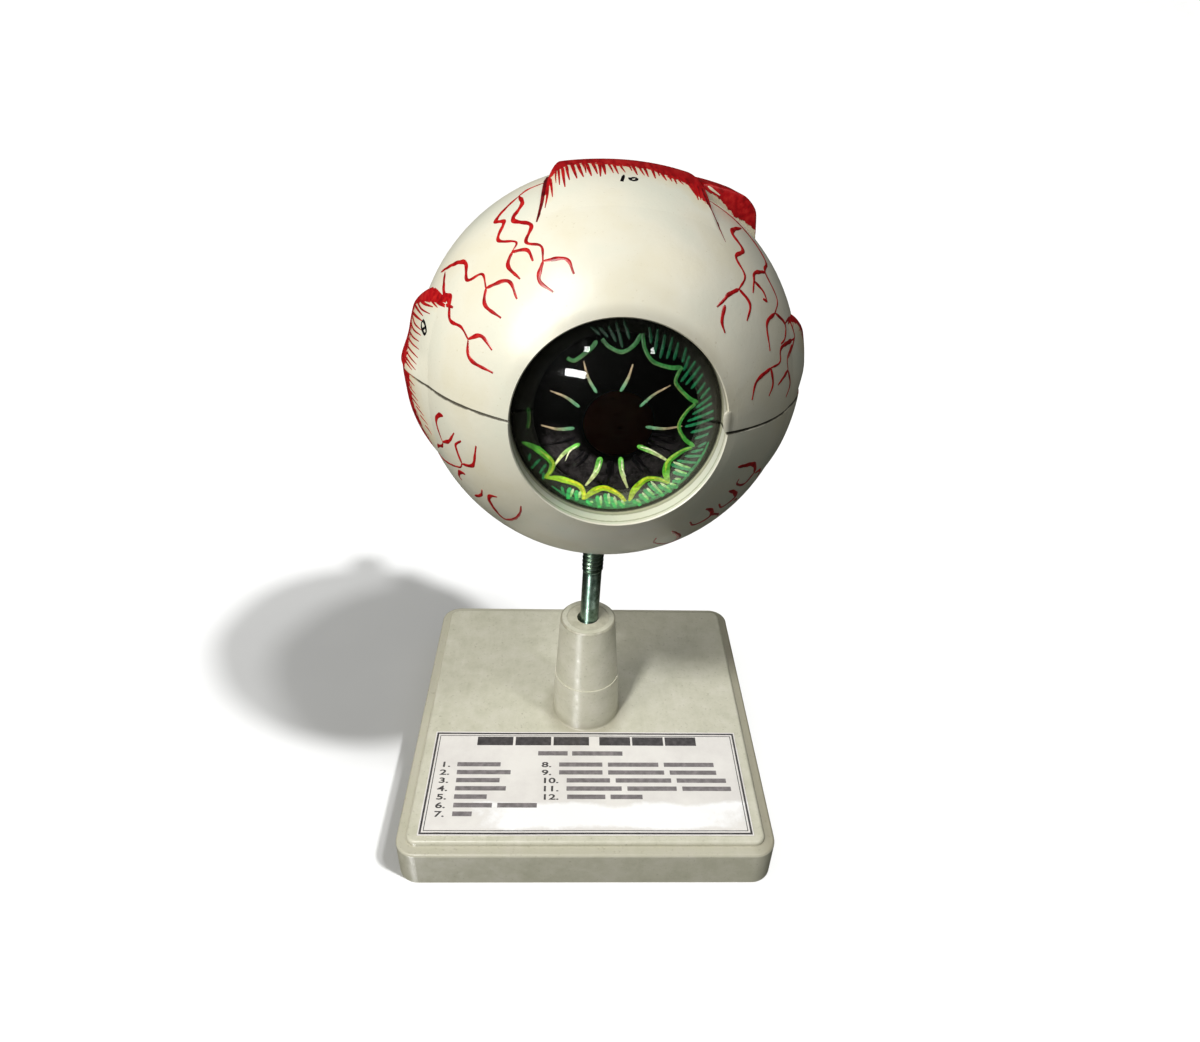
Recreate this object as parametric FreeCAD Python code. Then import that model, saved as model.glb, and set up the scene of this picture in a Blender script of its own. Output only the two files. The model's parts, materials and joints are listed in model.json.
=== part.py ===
import FreeCAD, Part
import math
import os
from FreeCAD import Placement, Rotation, Vector

# A left human eye, five times life size, on a square stand. The globe opens at a level seam, its cornea
# and iris draw out forwards, its lens lifts out, and the whole eye turns on a steel rod in the stand.
# Millimetres. World frame: X to the viewer's right, Y away from the viewer, Z up, origin under the
# middle of the base. Eye frame: origin at the globe's centre, -Y along the optic axis, Z across the seam.

# ---------------------------------------------------------------- base
BASE_SIDE = 138.4
BASE_HEIGHT = 15.9          # top of the square skirt
BASE_CORNER_R = 8.0
BASE_EDGE_R = 1.0
BASE_WALL = 2.6
PANEL_INSET = 3.9           # ledge between the skirt's edge and the raised panel
PANEL_RISE = 2.1
PANEL_EDGE_R = 1.2
RIB_THICK = 2.0
COVER_THICK = 2.0
COVER_RIM = 1.3             # width of skirt left outside the cover
COVER_GAP = 0.15
PILLAR_R = 4.0
PILLAR_MARGIN = 1.0         # from the inside of the skirt to a pillar
SCREW_R = 1.4
SCREW_HEAD_R = 2.8
SCREW_HEAD_DEPTH = 1.4
SCREW_LENGTH = 10.0
SCREW_SINK = 0.3            # screw head below the cover's face
CARD_WIDTH = 122.5
CARD_DEPTH = 49.0
CARD_THICK = 0.3
CARD_GAP = 0.4              # from the foot of the post to the card

# ---------------------------------------------------------------- post
POST_SET_BACK = 1.5         # post behind the middle of the base
BOSS_FOOT_R = 13.7
BOSS_TOP_R = 13.15
BOSS_HEIGHT = 21.2          # above the panel
BOSS_FLARE = 0.8
BOSS_BORE_R = 10.2
BOSS_WALL = 2.6             # of the tube under the panel
BOSS_SKIRT_GAP = 1.0        # from the cover up to the tube and the ribs
SLEEVE_FOOT_R = 12.75
SLEEVE_TOP_R = 10.85
SLEEVE_HEIGHT = 28.3
SLEEVE_BEVEL = 0.5
SPIGOT_LENGTH = 6.0
SPIGOT_BORE_R = 6.2
BUSH_R = 8.25
BUSH_BORE_R = 4.25
BUSH_LENGTH = 26.0
BUSH_SINK = 0.15            # bush below the sleeve's top face
WEB_Z = 14.2                # middle of the web that carries the rod
WEB_THICK = 3.4

# ---------------------------------------------------------------- rod
THREAD_R = 4.0
THREAD_ROOT_R = 3.3
THREAD_PITCH = 1.85
SHANK_R = 3.6
ROD_TOP_OFFSET = 0.5        # rod to the right of the post's axis at the post's top
ROD_INTO_GLOBE = 9.0
UPPER_THREAD = 32.5
LOWER_THREAD = 30.0
ROD_END_GAP = 1.4           # from the cover up to the rod's end
SWIVEL_PLAY = 0.05          # between the turning rod set and the web
WASHER_R = 8.0
WASHER_THICK = 1.6
NUT_FLATS = 13.0
NUT_HEIGHT = 6.0
INSERT_R = 7.0
INSERT_GROOVE = 0.4
INSERT_LENGTH = 7.5
INSERT_BOSS_WALL = 3.0
INSERT_PROUD = 0.5          # insert past the rod's top
INSERT_SUNK = 0.5           # insert below its boss's face
ROD_HOLE_GAP = 0.2          # round the rod where it passes the outer skin

# ---------------------------------------------------------------- globe and its layers
GLOBE_R = 60.0
GLOBE_X = 3.75
GLOBE_Z = 172.7
SCLERA_WALL = 3.4
CHOROID_WALL = 1.6
RETINA_WALL = 1.4
SEAM_BEVEL = 0.5
EYE_TURN = 2.44             # degrees, optic axis towards +X
EYE_RAISE = 5.38            # degrees, optic axis above level
EYE_ROLL = 3.44             # degrees, right-hand side down
PEG_R = 1.0
PEG_HOLE_GAP = 0.1
PEG_LENGTH = 8.0
PEG_HOLE_SPARE = 0.4
PEG_TURNS = (38.0, 142.0, 218.0, 322.0)   # degrees round the seam from +X

# ---------------------------------------------------------------- cornea, iris and lens
RECESS_R = 29.3
RECESS_BEVEL = 0.5
COLLAR_WALL = 3.0
COLLAR_BORE_R = 26.4
COLLAR_LEDGE = 1.7
RECESS_DEPTH = 10.46        # from the recess's mouth back to the iris's seat
SLIP_GAP = 0.35             # round the cornea, and between cornea and iris
IRIS_R = 28.7
IRIS_FACE_R = 60.7          # curvature of its face
IRIS_RIM = 1.22             # height of the face's edge over the seat
IRIS_THICK = 1.2
IRIS_FLANGE_W = 1.7
IRIS_SEAT_GAP = 0.05
PUPIL_R = 9.5
CORNEA_CURVE_R = 50.6
CORNEA_THICK = 1.5
CORNEA_RIM_ROOM = 0.32      # from the iris's face forward to the inner edge of the cornea
LENS_R = 20.0
LENS_FRONT_CURVE_R = 50.0
LENS_BACK_CURVE_R = 30.0
LENS_RIM = 3.0
LENS_CLEAR = 1.5            # lens behind the back of the iris's seat
RING_LIP = 1.4              # how far the ring's back lip reaches under the lens
RING_LIP_THICK = 1.5
RING_LENS_GAP = 0.35
RING_WALL = 3.0
RING_WEB_THICK = 2.5
RING_COLLAR_HEIGHT = 5.5

# ---------------------------------------------------------------- nerve and yellow spot
NERVE_R = 8.5
NERVE_CORE_R = 5.5
NERVE_LENGTH = 24.0
NERVE_CORE_PROUD = 0.6
NERVE_NASAL = 15.0          # degrees to -X of the back pole
NERVE_DROP = 9.5            # degrees below the seam
SPOT_R = 3.8
SPOT_THICK = 0.6
SPOT_TEMPORAL = 5.0
SPOT_DROP = 5.5

# ---------------------------------------------------------------- muscles
RECTUS_BACK = 18.0          # straight muscles end here, behind the globe's centre
SIDE_RECTUS_RISE = 3.65
SIDE_RECTUS_TOP = 25.0
SIDE_RECTUS_BOTTOM = 23.8
TOP_RECTUS_RISE = 2.4
RECTUS_FRONT = 60.0         # degrees from the optic axis to where a straight muscle begins
TOP_RECTUS_X = 1.9
TOP_RECTUS_FRONT_HALF = 27.0
TOP_RECTUS_BACK_HALF = 20.0
TOP_RECTUS_FRONT_Y = -34.0
OBLIQUE_BACK = 14.0
OBLIQUE_INNER_FRONT = -9.8
OBLIQUE_OUTER_FRONT = -4.6
OBLIQUE_INNER_TURN = 18.8   # turns are degrees outwards from the crown, rises are above the globe
OBLIQUE_INNER_RISE = 1.9
OBLIQUE_SHOULDER_TURN = 30.4
OBLIQUE_SHOULDER_RISE = 5.3
OBLIQUE_CORNER_TURN = 36.3
OBLIQUE_CORNER_RISE = 5.7
OBLIQUE_OUTER_TURN = 40.1
OBLIQUE_OUTER_RISE = 3.4
OBLIQUE_SUNK = 8.0          # below its outer edge, inside the globe

# ---------------------------------------------------------------- places worked out from the sizes
PANEL_Z = BASE_HEIGHT + PANEL_RISE
PANEL_SIDE = BASE_SIDE - 2 * PANEL_INSET
PANEL_CORNER_R = BASE_CORNER_R - PANEL_INSET
RING_Z = PANEL_Z + BOSS_HEIGHT
POST_TOP = RING_Z + SLEEVE_HEIGHT
BUSH_FOOT = POST_TOP - BUSH_LENGTH
SCLERA_IN_R = GLOBE_R - SCLERA_WALL
CHOROID_IN_R = SCLERA_IN_R - CHOROID_WALL
RETINA_IN_R = CHOROID_IN_R - RETINA_WALL
MOUTH = math.sqrt(GLOBE_R ** 2 - RECESS_R ** 2)     # these six are forward of the globe's centre
SEAT = MOUTH - RECESS_DEPTH
COLLAR_BACK = SEAT - COLLAR_LEDGE
IRIS_EDGE = SEAT + IRIS_RIM
IRIS_CROWN = IRIS_EDGE + IRIS_FACE_R - math.sqrt(IRIS_FACE_R ** 2 - IRIS_R ** 2)
LENS_FRONT = SEAT - LENS_CLEAR
COLLAR_R = RECESS_R + COLLAR_WALL
INSERT_BOSS_R = INSERT_R + INSERT_BOSS_WALL
INSERT_TOP = GLOBE_R - ROD_INTO_GLOBE - INSERT_PROUD
BEYOND = 2 * GLOBE_R        # reaches clear of the globe from its centre

# ---------------------------------------------------------------- frames
GLOBE_CENTRE = Vector(GLOBE_X, 0, GLOBE_Z)
ROD_AT_POST_TOP = Vector(ROD_TOP_OFFSET, POST_SET_BACK, POST_TOP)
ROD_DOWN = (ROD_AT_POST_TOP - GLOBE_CENTRE).normalize()
TURN = Rotation(Vector(0, 0, 1), EYE_TURN)
RAISE = Rotation(Vector(1, 0, 0), -EYE_RAISE)
ROLL = Rotation(Vector(0, 1, 0), EYE_ROLL)
EYE = Placement(GLOBE_CENTRE, TURN.multiply(RAISE).multiply(ROLL))
ROD = Placement(GLOBE_CENTRE, Rotation(Vector(0, 0, 1), ROD_DOWN))
ROD_IN_EYE = EYE.inverse().multiply(ROD)
FORWARD = Placement(Vector(), Rotation(Vector(1, 0, 0), 90))
POST = Placement(Vector(0, POST_SET_BACK, 0), Rotation())


# ---------------------------------------------------------------- helpers
def put(shape, placement):
    """The shape carried into the frame of the placement."""
    moved = shape.copy()
    moved.Placement = placement.multiply(moved.Placement)
    return moved


def forward(shape):
    """A shape built up +Z, turned to run forward along the optic axis."""
    return put(shape, FORWARD)


def cylinder(radius, low, high):
    return Part.makeCylinder(radius, high - low, Vector(0, 0, low))


def ball(radius, centre=Vector()):
    return Part.makeSphere(radius, centre)


def turned(outline):
    """Solid turned about Z from (radius, height) corners. An entry ("via", radius, height) is a point that
    the edge between its two neighbours bends through."""
    points = [Vector(entry[-2], 0, entry[-1]) for entry in outline]
    count = len(points)
    edges = []
    index = 0
    while index < count:
        ahead = (index + 1) % count
        if len(outline[ahead]) == 3:
            after = (index + 2) % count
            edges.append(Part.Arc(points[index], points[ahead], points[after]).toShape())
            index += 2
        else:
            edges.append(Part.makeLine(points[index], points[ahead]))
            index += 1
    solid = Part.Face(Part.Wire(edges)).revolve(Vector(), Vector(0, 0, 1), 360)
    if solid.Volume < 0:
        solid.reverse()
    return solid


def rounded_block(side, low, high, corner_r, top_edge_r=0.0):
    """Square block with round corners in plan and, if asked, a rounded top edge."""
    half = side / 2
    block = Part.makeBox(side, side, high - low, Vector(-half, -half, low))
    upright = [edge for edge in block.Edges if abs(edge.tangentAt(edge.FirstParameter).z) > 0.9]
    block = block.makeFillet(corner_r, upright)
    if top_edge_r:
        top = [edge for edge in block.Edges if min(v.Z for v in edge.Vertexes) > high - 0.001]
        block = block.makeFillet(top_edge_r, top)
    return block


def prism(corners, low, high):
    """Upright prism over (x, y) corners."""
    ring = [Vector(x, y, low) for x, y in corners]
    face = Part.Face(Part.makePolygon(ring + ring[:1]))
    return face.extrude(Vector(0, 0, high - low))


def sag(curve_r, radius):
    """How far a sphere of curve_r falls back from its crown at this radius."""
    return curve_r - math.sqrt(curve_r ** 2 - radius ** 2)


def half_of(shape, upper):
    """The part of an eye-frame shape above or below the seam."""
    low = 0 if upper else -BEYOND
    return shape.common(Part.makeBox(2 * BEYOND, 2 * BEYOND, BEYOND, Vector(-BEYOND, -BEYOND, low)))


def toward(nasal, drop):
    """Eye-frame placement whose Z points at the back of the globe, so far to the nose's side and down."""
    across = math.radians(nasal)
    down = math.radians(drop)
    aim = Vector(-math.sin(across) * math.cos(down), math.cos(across) * math.cos(down), -math.sin(down))
    return Placement(Vector(), Rotation(Vector(0, 0, 1), aim))


# ---------------------------------------------------------------- base group
def pillar_places():
    reach = BASE_SIDE / 2 - BASE_WALL - PILLAR_MARGIN - PILLAR_R
    return [Vector(sx * reach, sy * reach, 0) for sx in (-1, 1) for sy in (-1, 1)]


def carrying_web():
    """Disc across the boss's bore, square to the rod, with a running fit round the rod's thread."""
    middle = (GLOBE_Z - WEB_Z) / -ROD_DOWN.z
    low, high = middle - WEB_THICK / 2, middle + WEB_THICK / 2
    disc = cylinder(BOSS_BORE_R + BOSS_WALL / 2, low, high)
    return put(disc.cut(cylinder(THREAD_R + SWIVEL_PLAY, low, high)), ROD), low, high


def base_shell():
    skirt = rounded_block(BASE_SIDE, 0, BASE_HEIGHT, BASE_CORNER_R, BASE_EDGE_R)
    panel = rounded_block(PANEL_SIDE, BASE_HEIGHT / 2, PANEL_Z, PANEL_CORNER_R, PANEL_EDGE_R)
    skirt_roof = BASE_HEIGHT - BASE_WALL
    panel_roof = PANEL_Z - BASE_WALL
    rebate = rounded_block(BASE_SIDE - 2 * COVER_RIM, 0, COVER_THICK, BASE_CORNER_R - COVER_RIM)
    inner_r = BASE_CORNER_R - BASE_WALL
    hollow = rounded_block(BASE_SIDE - 2 * BASE_WALL, COVER_THICK, skirt_roof, inner_r)
    upper_hollow = rounded_block(PANEL_SIDE - 2 * BASE_WALL, COVER_THICK, panel_roof, inner_r)
    shell = skirt.fuse(panel).cut(rebate).cut(hollow).cut(upper_hollow)

    skirt_z = COVER_THICK + BOSS_SKIRT_GAP
    tube_r = BOSS_BORE_R + BOSS_WALL
    flare_mid = BOSS_FLARE * (1 - math.sqrt(0.5))
    boss = turned([
        (BOSS_BORE_R, skirt_z), (tube_r, skirt_z), (tube_r, panel_roof),
        (BOSS_FOOT_R + BOSS_FLARE, PANEL_Z - PANEL_RISE / 2), (BOSS_FOOT_R + BOSS_FLARE, PANEL_Z),
        ("via", BOSS_FOOT_R + flare_mid, PANEL_Z + flare_mid),
        (BOSS_FOOT_R, PANEL_Z + BOSS_FLARE),
        (BOSS_TOP_R, RING_Z), (BOSS_BORE_R, RING_Z)])
    boss = put(boss, POST)
    ribs = []
    half = BASE_SIDE / 2 - BASE_WALL / 2
    for direction in range(4):
        rib = Part.makeBox(half, RIB_THICK, panel_roof - skirt_z, Vector(0, -RIB_THICK / 2, skirt_z))
        rib.rotate(Vector(), Vector(0, 0, 1), 90 * direction)
        ribs.append(rib.translate(Vector(0, POST_SET_BACK, 0)))
    pillars = []
    pilots = []
    for place in pillar_places():
        pillars.append(cylinder(PILLAR_R, COVER_THICK, panel_roof).translate(place))
        pilots.append(cylinder(SCREW_R, 0, SCREW_LENGTH + SCREW_SINK).translate(place))
    within = rounded_block(BASE_SIDE - BASE_WALL, COVER_THICK, PANEL_Z, BASE_CORNER_R - BASE_WALL / 2)
    inside = Part.makeCompound(ribs + pillars).common(within)
    web, _, _ = carrying_web()
    bore = put(cylinder(BOSS_BORE_R, 0, RING_Z), POST)
    return shell.fuse(inside.Solids).fuse(boss).cut(bore).fuse(web).cut(Part.makeCompound(pilots))


def screw_outline():
    return [
        (0, SCREW_SINK), (SCREW_HEAD_R, SCREW_SINK), (SCREW_R, SCREW_SINK + SCREW_HEAD_DEPTH),
        (SCREW_R, SCREW_SINK + SCREW_LENGTH), (0, SCREW_SINK + SCREW_LENGTH)]


def base_cover():
    side = BASE_SIDE - 2 * (COVER_RIM + COVER_GAP)
    plate = rounded_block(side, 0, COVER_THICK, BASE_CORNER_R - COVER_RIM - COVER_GAP)
    holes = []
    for place in pillar_places():
        holes.append(turned(screw_outline()).translate(place))
        holes.append(cylinder(SCREW_HEAD_R, 0, SCREW_SINK).translate(place))
    return plate.cut(Part.makeCompound(holes))


def cover_screws():
    return Part.makeCompound([turned(screw_outline()).translate(place) for place in pillar_places()])


def key_card():
    back = POST_SET_BACK - BOSS_FOOT_R - BOSS_FLARE - CARD_GAP
    corner = Vector(-CARD_WIDTH / 2, back - CARD_DEPTH, PANEL_Z)
    return Part.makeBox(CARD_WIDTH, CARD_DEPTH, CARD_THICK, corner)


def post_sleeve():
    return put(turned([
        (BUSH_R, BUSH_FOOT), (BUSH_R, POST_TOP), (SLEEVE_TOP_R - SLEEVE_BEVEL, POST_TOP),
        (SLEEVE_TOP_R, POST_TOP - SLEEVE_BEVEL), (SLEEVE_FOOT_R, RING_Z), (BOSS_BORE_R, RING_Z),
        (BOSS_BORE_R, RING_Z - SPIGOT_LENGTH), (SPIGOT_BORE_R, RING_Z - SPIGOT_LENGTH),
        (SPIGOT_BORE_R, BUSH_FOOT)]), POST)


def post_bush():
    top = POST_TOP - BUSH_SINK
    return put(turned([
        (BUSH_BORE_R, BUSH_FOOT), (BUSH_R, BUSH_FOOT), (BUSH_R, top), (BUSH_BORE_R, top)]), POST)


# ---------------------------------------------------------------- rod group, heights are reach from the globe
def rod_end():
    """Reach of the rod's lower end, clear of the cover."""
    return (GLOBE_Z - COVER_THICK - ROD_END_GAP) / -ROD_DOWN.z


def thread(start, length):
    """Outline of a stretch of thread: a crest and a root in each pitch."""
    turns = int(length / THREAD_PITCH)
    outline = []
    for turn in range(turns):
        at = start + turn * THREAD_PITCH
        outline += [(THREAD_ROOT_R, at), (THREAD_R, at + THREAD_PITCH / 2)]
    return outline + [(THREAD_ROOT_R, start + turns * THREAD_PITCH)]


def support_rod():
    upper = thread(GLOBE_R - ROD_INTO_GLOBE, UPPER_THREAD)
    lower = thread(rod_end() - LOWER_THREAD, LOWER_THREAD)
    shank = [(SHANK_R, upper[-1][1]), (SHANK_R, lower[0][1])]
    ends = [(0, lower[-1][1]), (0, upper[0][1])]
    return put(turned(upper + shank + lower + ends), ROD)


def clamp_places():
    """Reach of the near face of the washer and nut above the web, and of those under it."""
    _, low, high = carrying_web()
    above = low - SWIVEL_PLAY - WASHER_THICK
    below = high + SWIVEL_PLAY
    return (above, above - NUT_HEIGHT), (below, below + WASHER_THICK)


def rod_washers():
    rings = []
    for washer_at, _ in clamp_places():
        ring = cylinder(WASHER_R, washer_at, washer_at + WASHER_THICK)
        rings.append(put(ring.cut(cylinder(THREAD_R, washer_at, washer_at + WASHER_THICK)), ROD))
    return Part.makeCompound(rings)


def rod_nuts():
    corner_r = NUT_FLATS / math.sqrt(3)
    turns = [math.radians(60 * side) for side in range(6)]
    corners = [(corner_r * math.cos(turn), corner_r * math.sin(turn)) for turn in turns]
    fall = (corner_r - NUT_FLATS / 2) * math.tan(math.radians(30))
    nuts = []
    for _, nut_at in clamp_places():
        far = nut_at + NUT_HEIGHT
        hexagon = prism(corners, nut_at, far)
        rounding = turned([
            (0, nut_at), (NUT_FLATS / 2, nut_at), (corner_r, nut_at + fall),
            (corner_r, far - fall), (NUT_FLATS / 2, far), (0, far)])
        nuts.append(put(hexagon.common(rounding).cut(cylinder(THREAD_R, nut_at, far)), ROD))
    return Part.makeCompound(nuts)


def thread_insert():
    low, high = INSERT_TOP, INSERT_TOP + INSERT_LENGTH
    third = INSERT_LENGTH / 3
    return put(turned([
        (THREAD_R, low), (INSERT_R, low), (INSERT_R, low + third), (INSERT_R - INSERT_GROOVE, low + third),
        (INSERT_R - INSERT_GROOVE, high - third), (INSERT_R, high - third), (INSERT_R, high),
        (THREAD_R, high)]), ROD)


# ---------------------------------------------------------------- globe shells, in the eye frame
def seam_groove():
    """V groove round the globe, as deep as it is wide on each half."""
    wide = 2 * SEAM_BEVEL
    return turned([(GLOBE_R - SEAM_BEVEL, 0), (GLOBE_R + SEAM_BEVEL, -wide), (GLOBE_R + SEAM_BEVEL, wide)])


def peg_set(radius, half_length):
    """Upright pins round the seam, in the middle of the outer wall."""
    across = GLOBE_R - SCLERA_WALL / 2
    pins = []
    for turn in PEG_TURNS:
        place = Vector(across * math.cos(math.radians(turn)), across * math.sin(math.radians(turn)), 0)
        pins.append(cylinder(radius, -half_length, half_length).translate(place))
    return Part.makeCompound(pins)


def nerve_hole():
    return put(cylinder(NERVE_CORE_R, 0, BEYOND), toward(NERVE_NASAL, NERVE_DROP))


def insert_boss():
    return put(cylinder(INSERT_BOSS_R, INSERT_TOP - INSERT_SUNK, BEYOND), ROD_IN_EYE)


def sclera(upper):
    globe = ball(GLOBE_R)
    collar = forward(cylinder(COLLAR_R, COLLAR_BACK, GLOBE_R)).common(globe)
    shell = globe.cut(ball(SCLERA_IN_R)).fuse(collar)
    bore = forward(cylinder(COLLAR_BORE_R, COLLAR_BACK, SEAT))
    lip = MOUTH - RECESS_BEVEL
    flare = GLOBE_R - lip
    recess = forward(turned([
        (0, SEAT), (RECESS_R, SEAT), (RECESS_R, lip),
        (RECESS_R + flare, GLOBE_R), (0, GLOBE_R)]))
    shell = shell.cut(bore).cut(recess).cut(seam_groove())
    if upper:
        shell = shell.cut(peg_set(PEG_R + PEG_HOLE_GAP, PEG_LENGTH / 2 + PEG_HOLE_SPARE))
    else:
        shell = shell.fuse(insert_boss().common(globe))
        shell = shell.cut(put(cylinder(INSERT_R, 0, INSERT_TOP + INSERT_LENGTH), ROD_IN_EYE))
        shell = shell.cut(put(cylinder(THREAD_R + ROD_HOLE_GAP, 0, BEYOND), ROD_IN_EYE))
        shell = shell.cut(nerve_hole()).cut(peg_set(PEG_R, PEG_LENGTH / 2))
    return put(half_of(shell, upper), EYE)


def choroid(upper):
    shell = ball(SCLERA_IN_R).cut(ball(CHOROID_IN_R)).cut(forward(cylinder(COLLAR_R, 0, BEYOND)))
    return put(half_of(shell.cut(insert_boss()).cut(nerve_hole()), upper), EYE)


def ring_back():
    """Forward place of the ring's back face: its lip ends just behind the lens."""
    rim_back = LENS_FRONT - sag(LENS_FRONT_CURVE_R, LENS_R) - LENS_RIM
    lip_r = LENS_R + RING_LENS_GAP - RING_LIP
    behind_lens = rim_back - sag(LENS_BACK_CURVE_R, LENS_R) + sag(LENS_BACK_CURVE_R, lip_r)
    return behind_lens - RING_LENS_GAP - RING_LIP_THICK


def retina(upper):
    front = forward(cylinder(BEYOND, ring_back(), BEYOND))
    shell = ball(CHOROID_IN_R).cut(ball(RETINA_IN_R)).cut(front)
    return put(half_of(shell.cut(insert_boss()).cut(nerve_hole()), upper), EYE)


def ciliary_ring(upper):
    """Holder of the lens: a web out to the choroid, a collar round the lens and a lip behind it."""
    back = ring_back()
    bore_r = LENS_R + RING_LENS_GAP
    lip_r = bore_r - RING_LIP
    collar_r = bore_r + RING_WALL
    web_front = back + RING_WEB_THICK
    out_r = math.sqrt(CHOROID_IN_R ** 2 - web_front ** 2) + 2 * RING_WEB_THICK
    ring = turned([
        (lip_r, back), (out_r, back), (out_r, web_front), (collar_r, web_front),
        (collar_r, back + RING_COLLAR_HEIGHT), (bore_r, back + RING_COLLAR_HEIGHT),
        (bore_r, back + RING_LIP_THICK), (lip_r, back + RING_LIP_THICK)])
    return put(half_of(forward(ring).common(ball(CHOROID_IN_R)), upper), EYE)


# ---------------------------------------------------------------- what comes out of the front
def iris():
    flange_r = IRIS_R - IRIS_FLANGE_W
    seat = SEAT + IRIS_SEAT_GAP

    def face(radius):
        return (radius, IRIS_CROWN - sag(IRIS_FACE_R, radius))

    def back(radius):
        return (radius, IRIS_CROWN - IRIS_THICK - sag(IRIS_FACE_R, radius))

    middle = (PUPIL_R + IRIS_R) / 2
    return put(forward(turned([
        face(PUPIL_R), ("via",) + face(middle), face(IRIS_R), (IRIS_R, seat), (flange_r, seat),
        back(flange_r), ("via",) + back(middle), back(PUPIL_R)])), EYE)


def cornea():
    edge_r = RECESS_R - SLIP_GAP
    inner_curve_r = CORNEA_CURVE_R - CORNEA_THICK
    flange_r = edge_r - CORNEA_THICK
    rim = IRIS_CROWN - sag(IRIS_FACE_R, flange_r) + CORNEA_RIM_ROOM
    inner_crown = rim + sag(inner_curve_r, flange_r)

    def inner(radius):
        return (radius, inner_crown - sag(inner_curve_r, radius))

    def outer(radius):
        return (radius, inner_crown + CORNEA_THICK - sag(CORNEA_CURVE_R, radius))

    return put(forward(turned([
        inner(0), ("via",) + inner(flange_r / 2), inner(flange_r), (edge_r, IRIS_EDGE + SLIP_GAP),
        outer(edge_r), ("via",) + outer(edge_r / 2), outer(0)])), EYE)


def lens():
    rim_front = LENS_FRONT - sag(LENS_FRONT_CURVE_R, LENS_R)
    rim_back = rim_front - LENS_RIM
    back_crown = rim_back - sag(LENS_BACK_CURVE_R, LENS_R)
    half = LENS_R / 2
    return put(forward(turned([
        (0, back_crown), ("via", half, back_crown + sag(LENS_BACK_CURVE_R, half)), (LENS_R, rim_back),
        (LENS_R, rim_front), ("via", half, LENS_FRONT - sag(LENS_FRONT_CURVE_R, half)),
        (0, LENS_FRONT)])), EYE)


# ---------------------------------------------------------------- nerve, spot, pegs and muscles
def optic_nerve():
    tube = cylinder(NERVE_R, 0, GLOBE_R + NERVE_LENGTH)
    tube = put(tube.cut(cylinder(NERVE_CORE_R, 0, BEYOND)), toward(NERVE_NASAL, NERVE_DROP))
    return put(tube.cut(ball(GLOBE_R)), EYE)


def nerve_core():
    core = cylinder(NERVE_CORE_R, 0, GLOBE_R + NERVE_LENGTH + NERVE_CORE_PROUD)
    return put(put(core, toward(NERVE_NASAL, NERVE_DROP)).cut(ball(RETINA_IN_R)), EYE)


def yellow_spot():
    plug = put(cylinder(SPOT_R, 0, BEYOND), toward(-SPOT_TEMPORAL, SPOT_DROP))
    return put(ball(RETINA_IN_R).cut(ball(RETINA_IN_R - SPOT_THICK)).common(plug), EYE)


def locating_pegs():
    return put(peg_set(PEG_R, PEG_LENGTH / 2), EYE)


def raised_band(rise, outward, outline):
    """Band on the globe inside an upright outline. It grows out of the surface RECTUS_FRONT degrees from
    the optic axis, and stands the stated rise proud a quarter turn from that axis."""
    back = rise * math.tan(math.radians(RECTUS_FRONT))
    centre = outward * rise + Vector(0, back, 0)
    return ball(GLOBE_R, centre).common(outline).cut(ball(GLOBE_R))


def side_rectus(side, upper):
    """Side is -1 for the muscle on the nose's side and 1 for the outer one."""
    low, high = (0, SIDE_RECTUS_TOP) if upper else (-SIDE_RECTUS_BOTTOM, 0)
    reach = sorted((0, side * BEYOND))
    outline = prism([
        (reach[0], -GLOBE_R), (reach[1], -GLOBE_R),
        (reach[1], RECTUS_BACK), (reach[0], RECTUS_BACK)], low, high)
    return put(raised_band(SIDE_RECTUS_RISE, Vector(side, 0, 0), outline), EYE)


def top_rectus_outline():
    front, back = TOP_RECTUS_FRONT_HALF, TOP_RECTUS_BACK_HALF
    return prism([
        (TOP_RECTUS_X - front, TOP_RECTUS_FRONT_Y), (TOP_RECTUS_X + front, TOP_RECTUS_FRONT_Y),
        (TOP_RECTUS_X + back, RECTUS_BACK), (TOP_RECTUS_X - back, RECTUS_BACK)], GLOBE_R / 3, BEYOND)


def superior_rectus():
    return put(raised_band(TOP_RECTUS_RISE, Vector(0, 0, 1), top_rectus_outline()), EYE)


def superior_oblique():
    """Stump that comes from under the top muscle's outer side, with a rounded outer shoulder."""
    def over_globe(turn, rise):
        lean = math.radians(turn)
        return Vector(math.sin(lean), 0, math.cos(lean)) * (GLOBE_R + rise)

    inner = over_globe(OBLIQUE_INNER_TURN, OBLIQUE_INNER_RISE)
    shoulder = over_globe(OBLIQUE_SHOULDER_TURN, OBLIQUE_SHOULDER_RISE)
    corner = over_globe(OBLIQUE_CORNER_TURN, OBLIQUE_CORNER_RISE)
    outer = over_globe(OBLIQUE_OUTER_TURN, OBLIQUE_OUTER_RISE)
    outer_foot = outer - Vector(0, 0, OBLIQUE_SUNK)
    inner_foot = Vector(inner.x, 0, outer_foot.z)
    section = Part.Wire([
        Part.makeLine(inner_foot, inner), Part.makeLine(inner, shoulder),
        Part.Arc(shoulder, corner, outer).toShape(),
        Part.makeLine(outer, outer_foot), Part.makeLine(outer_foot, inner_foot)])
    bar = Part.Face(section).extrude(Vector(0, GLOBE_R, 0)).translate(Vector(0, -GLOBE_R / 2, 0))
    outline = prism([
        (inner.x, OBLIQUE_INNER_FRONT), (outer.x, OBLIQUE_OUTER_FRONT),
        (outer.x, OBLIQUE_BACK), (inner.x, OBLIQUE_BACK)], 0, BEYOND)
    return put(bar.common(outline).cut(ball(GLOBE_R)).cut(top_rectus_outline()), EYE)


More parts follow.
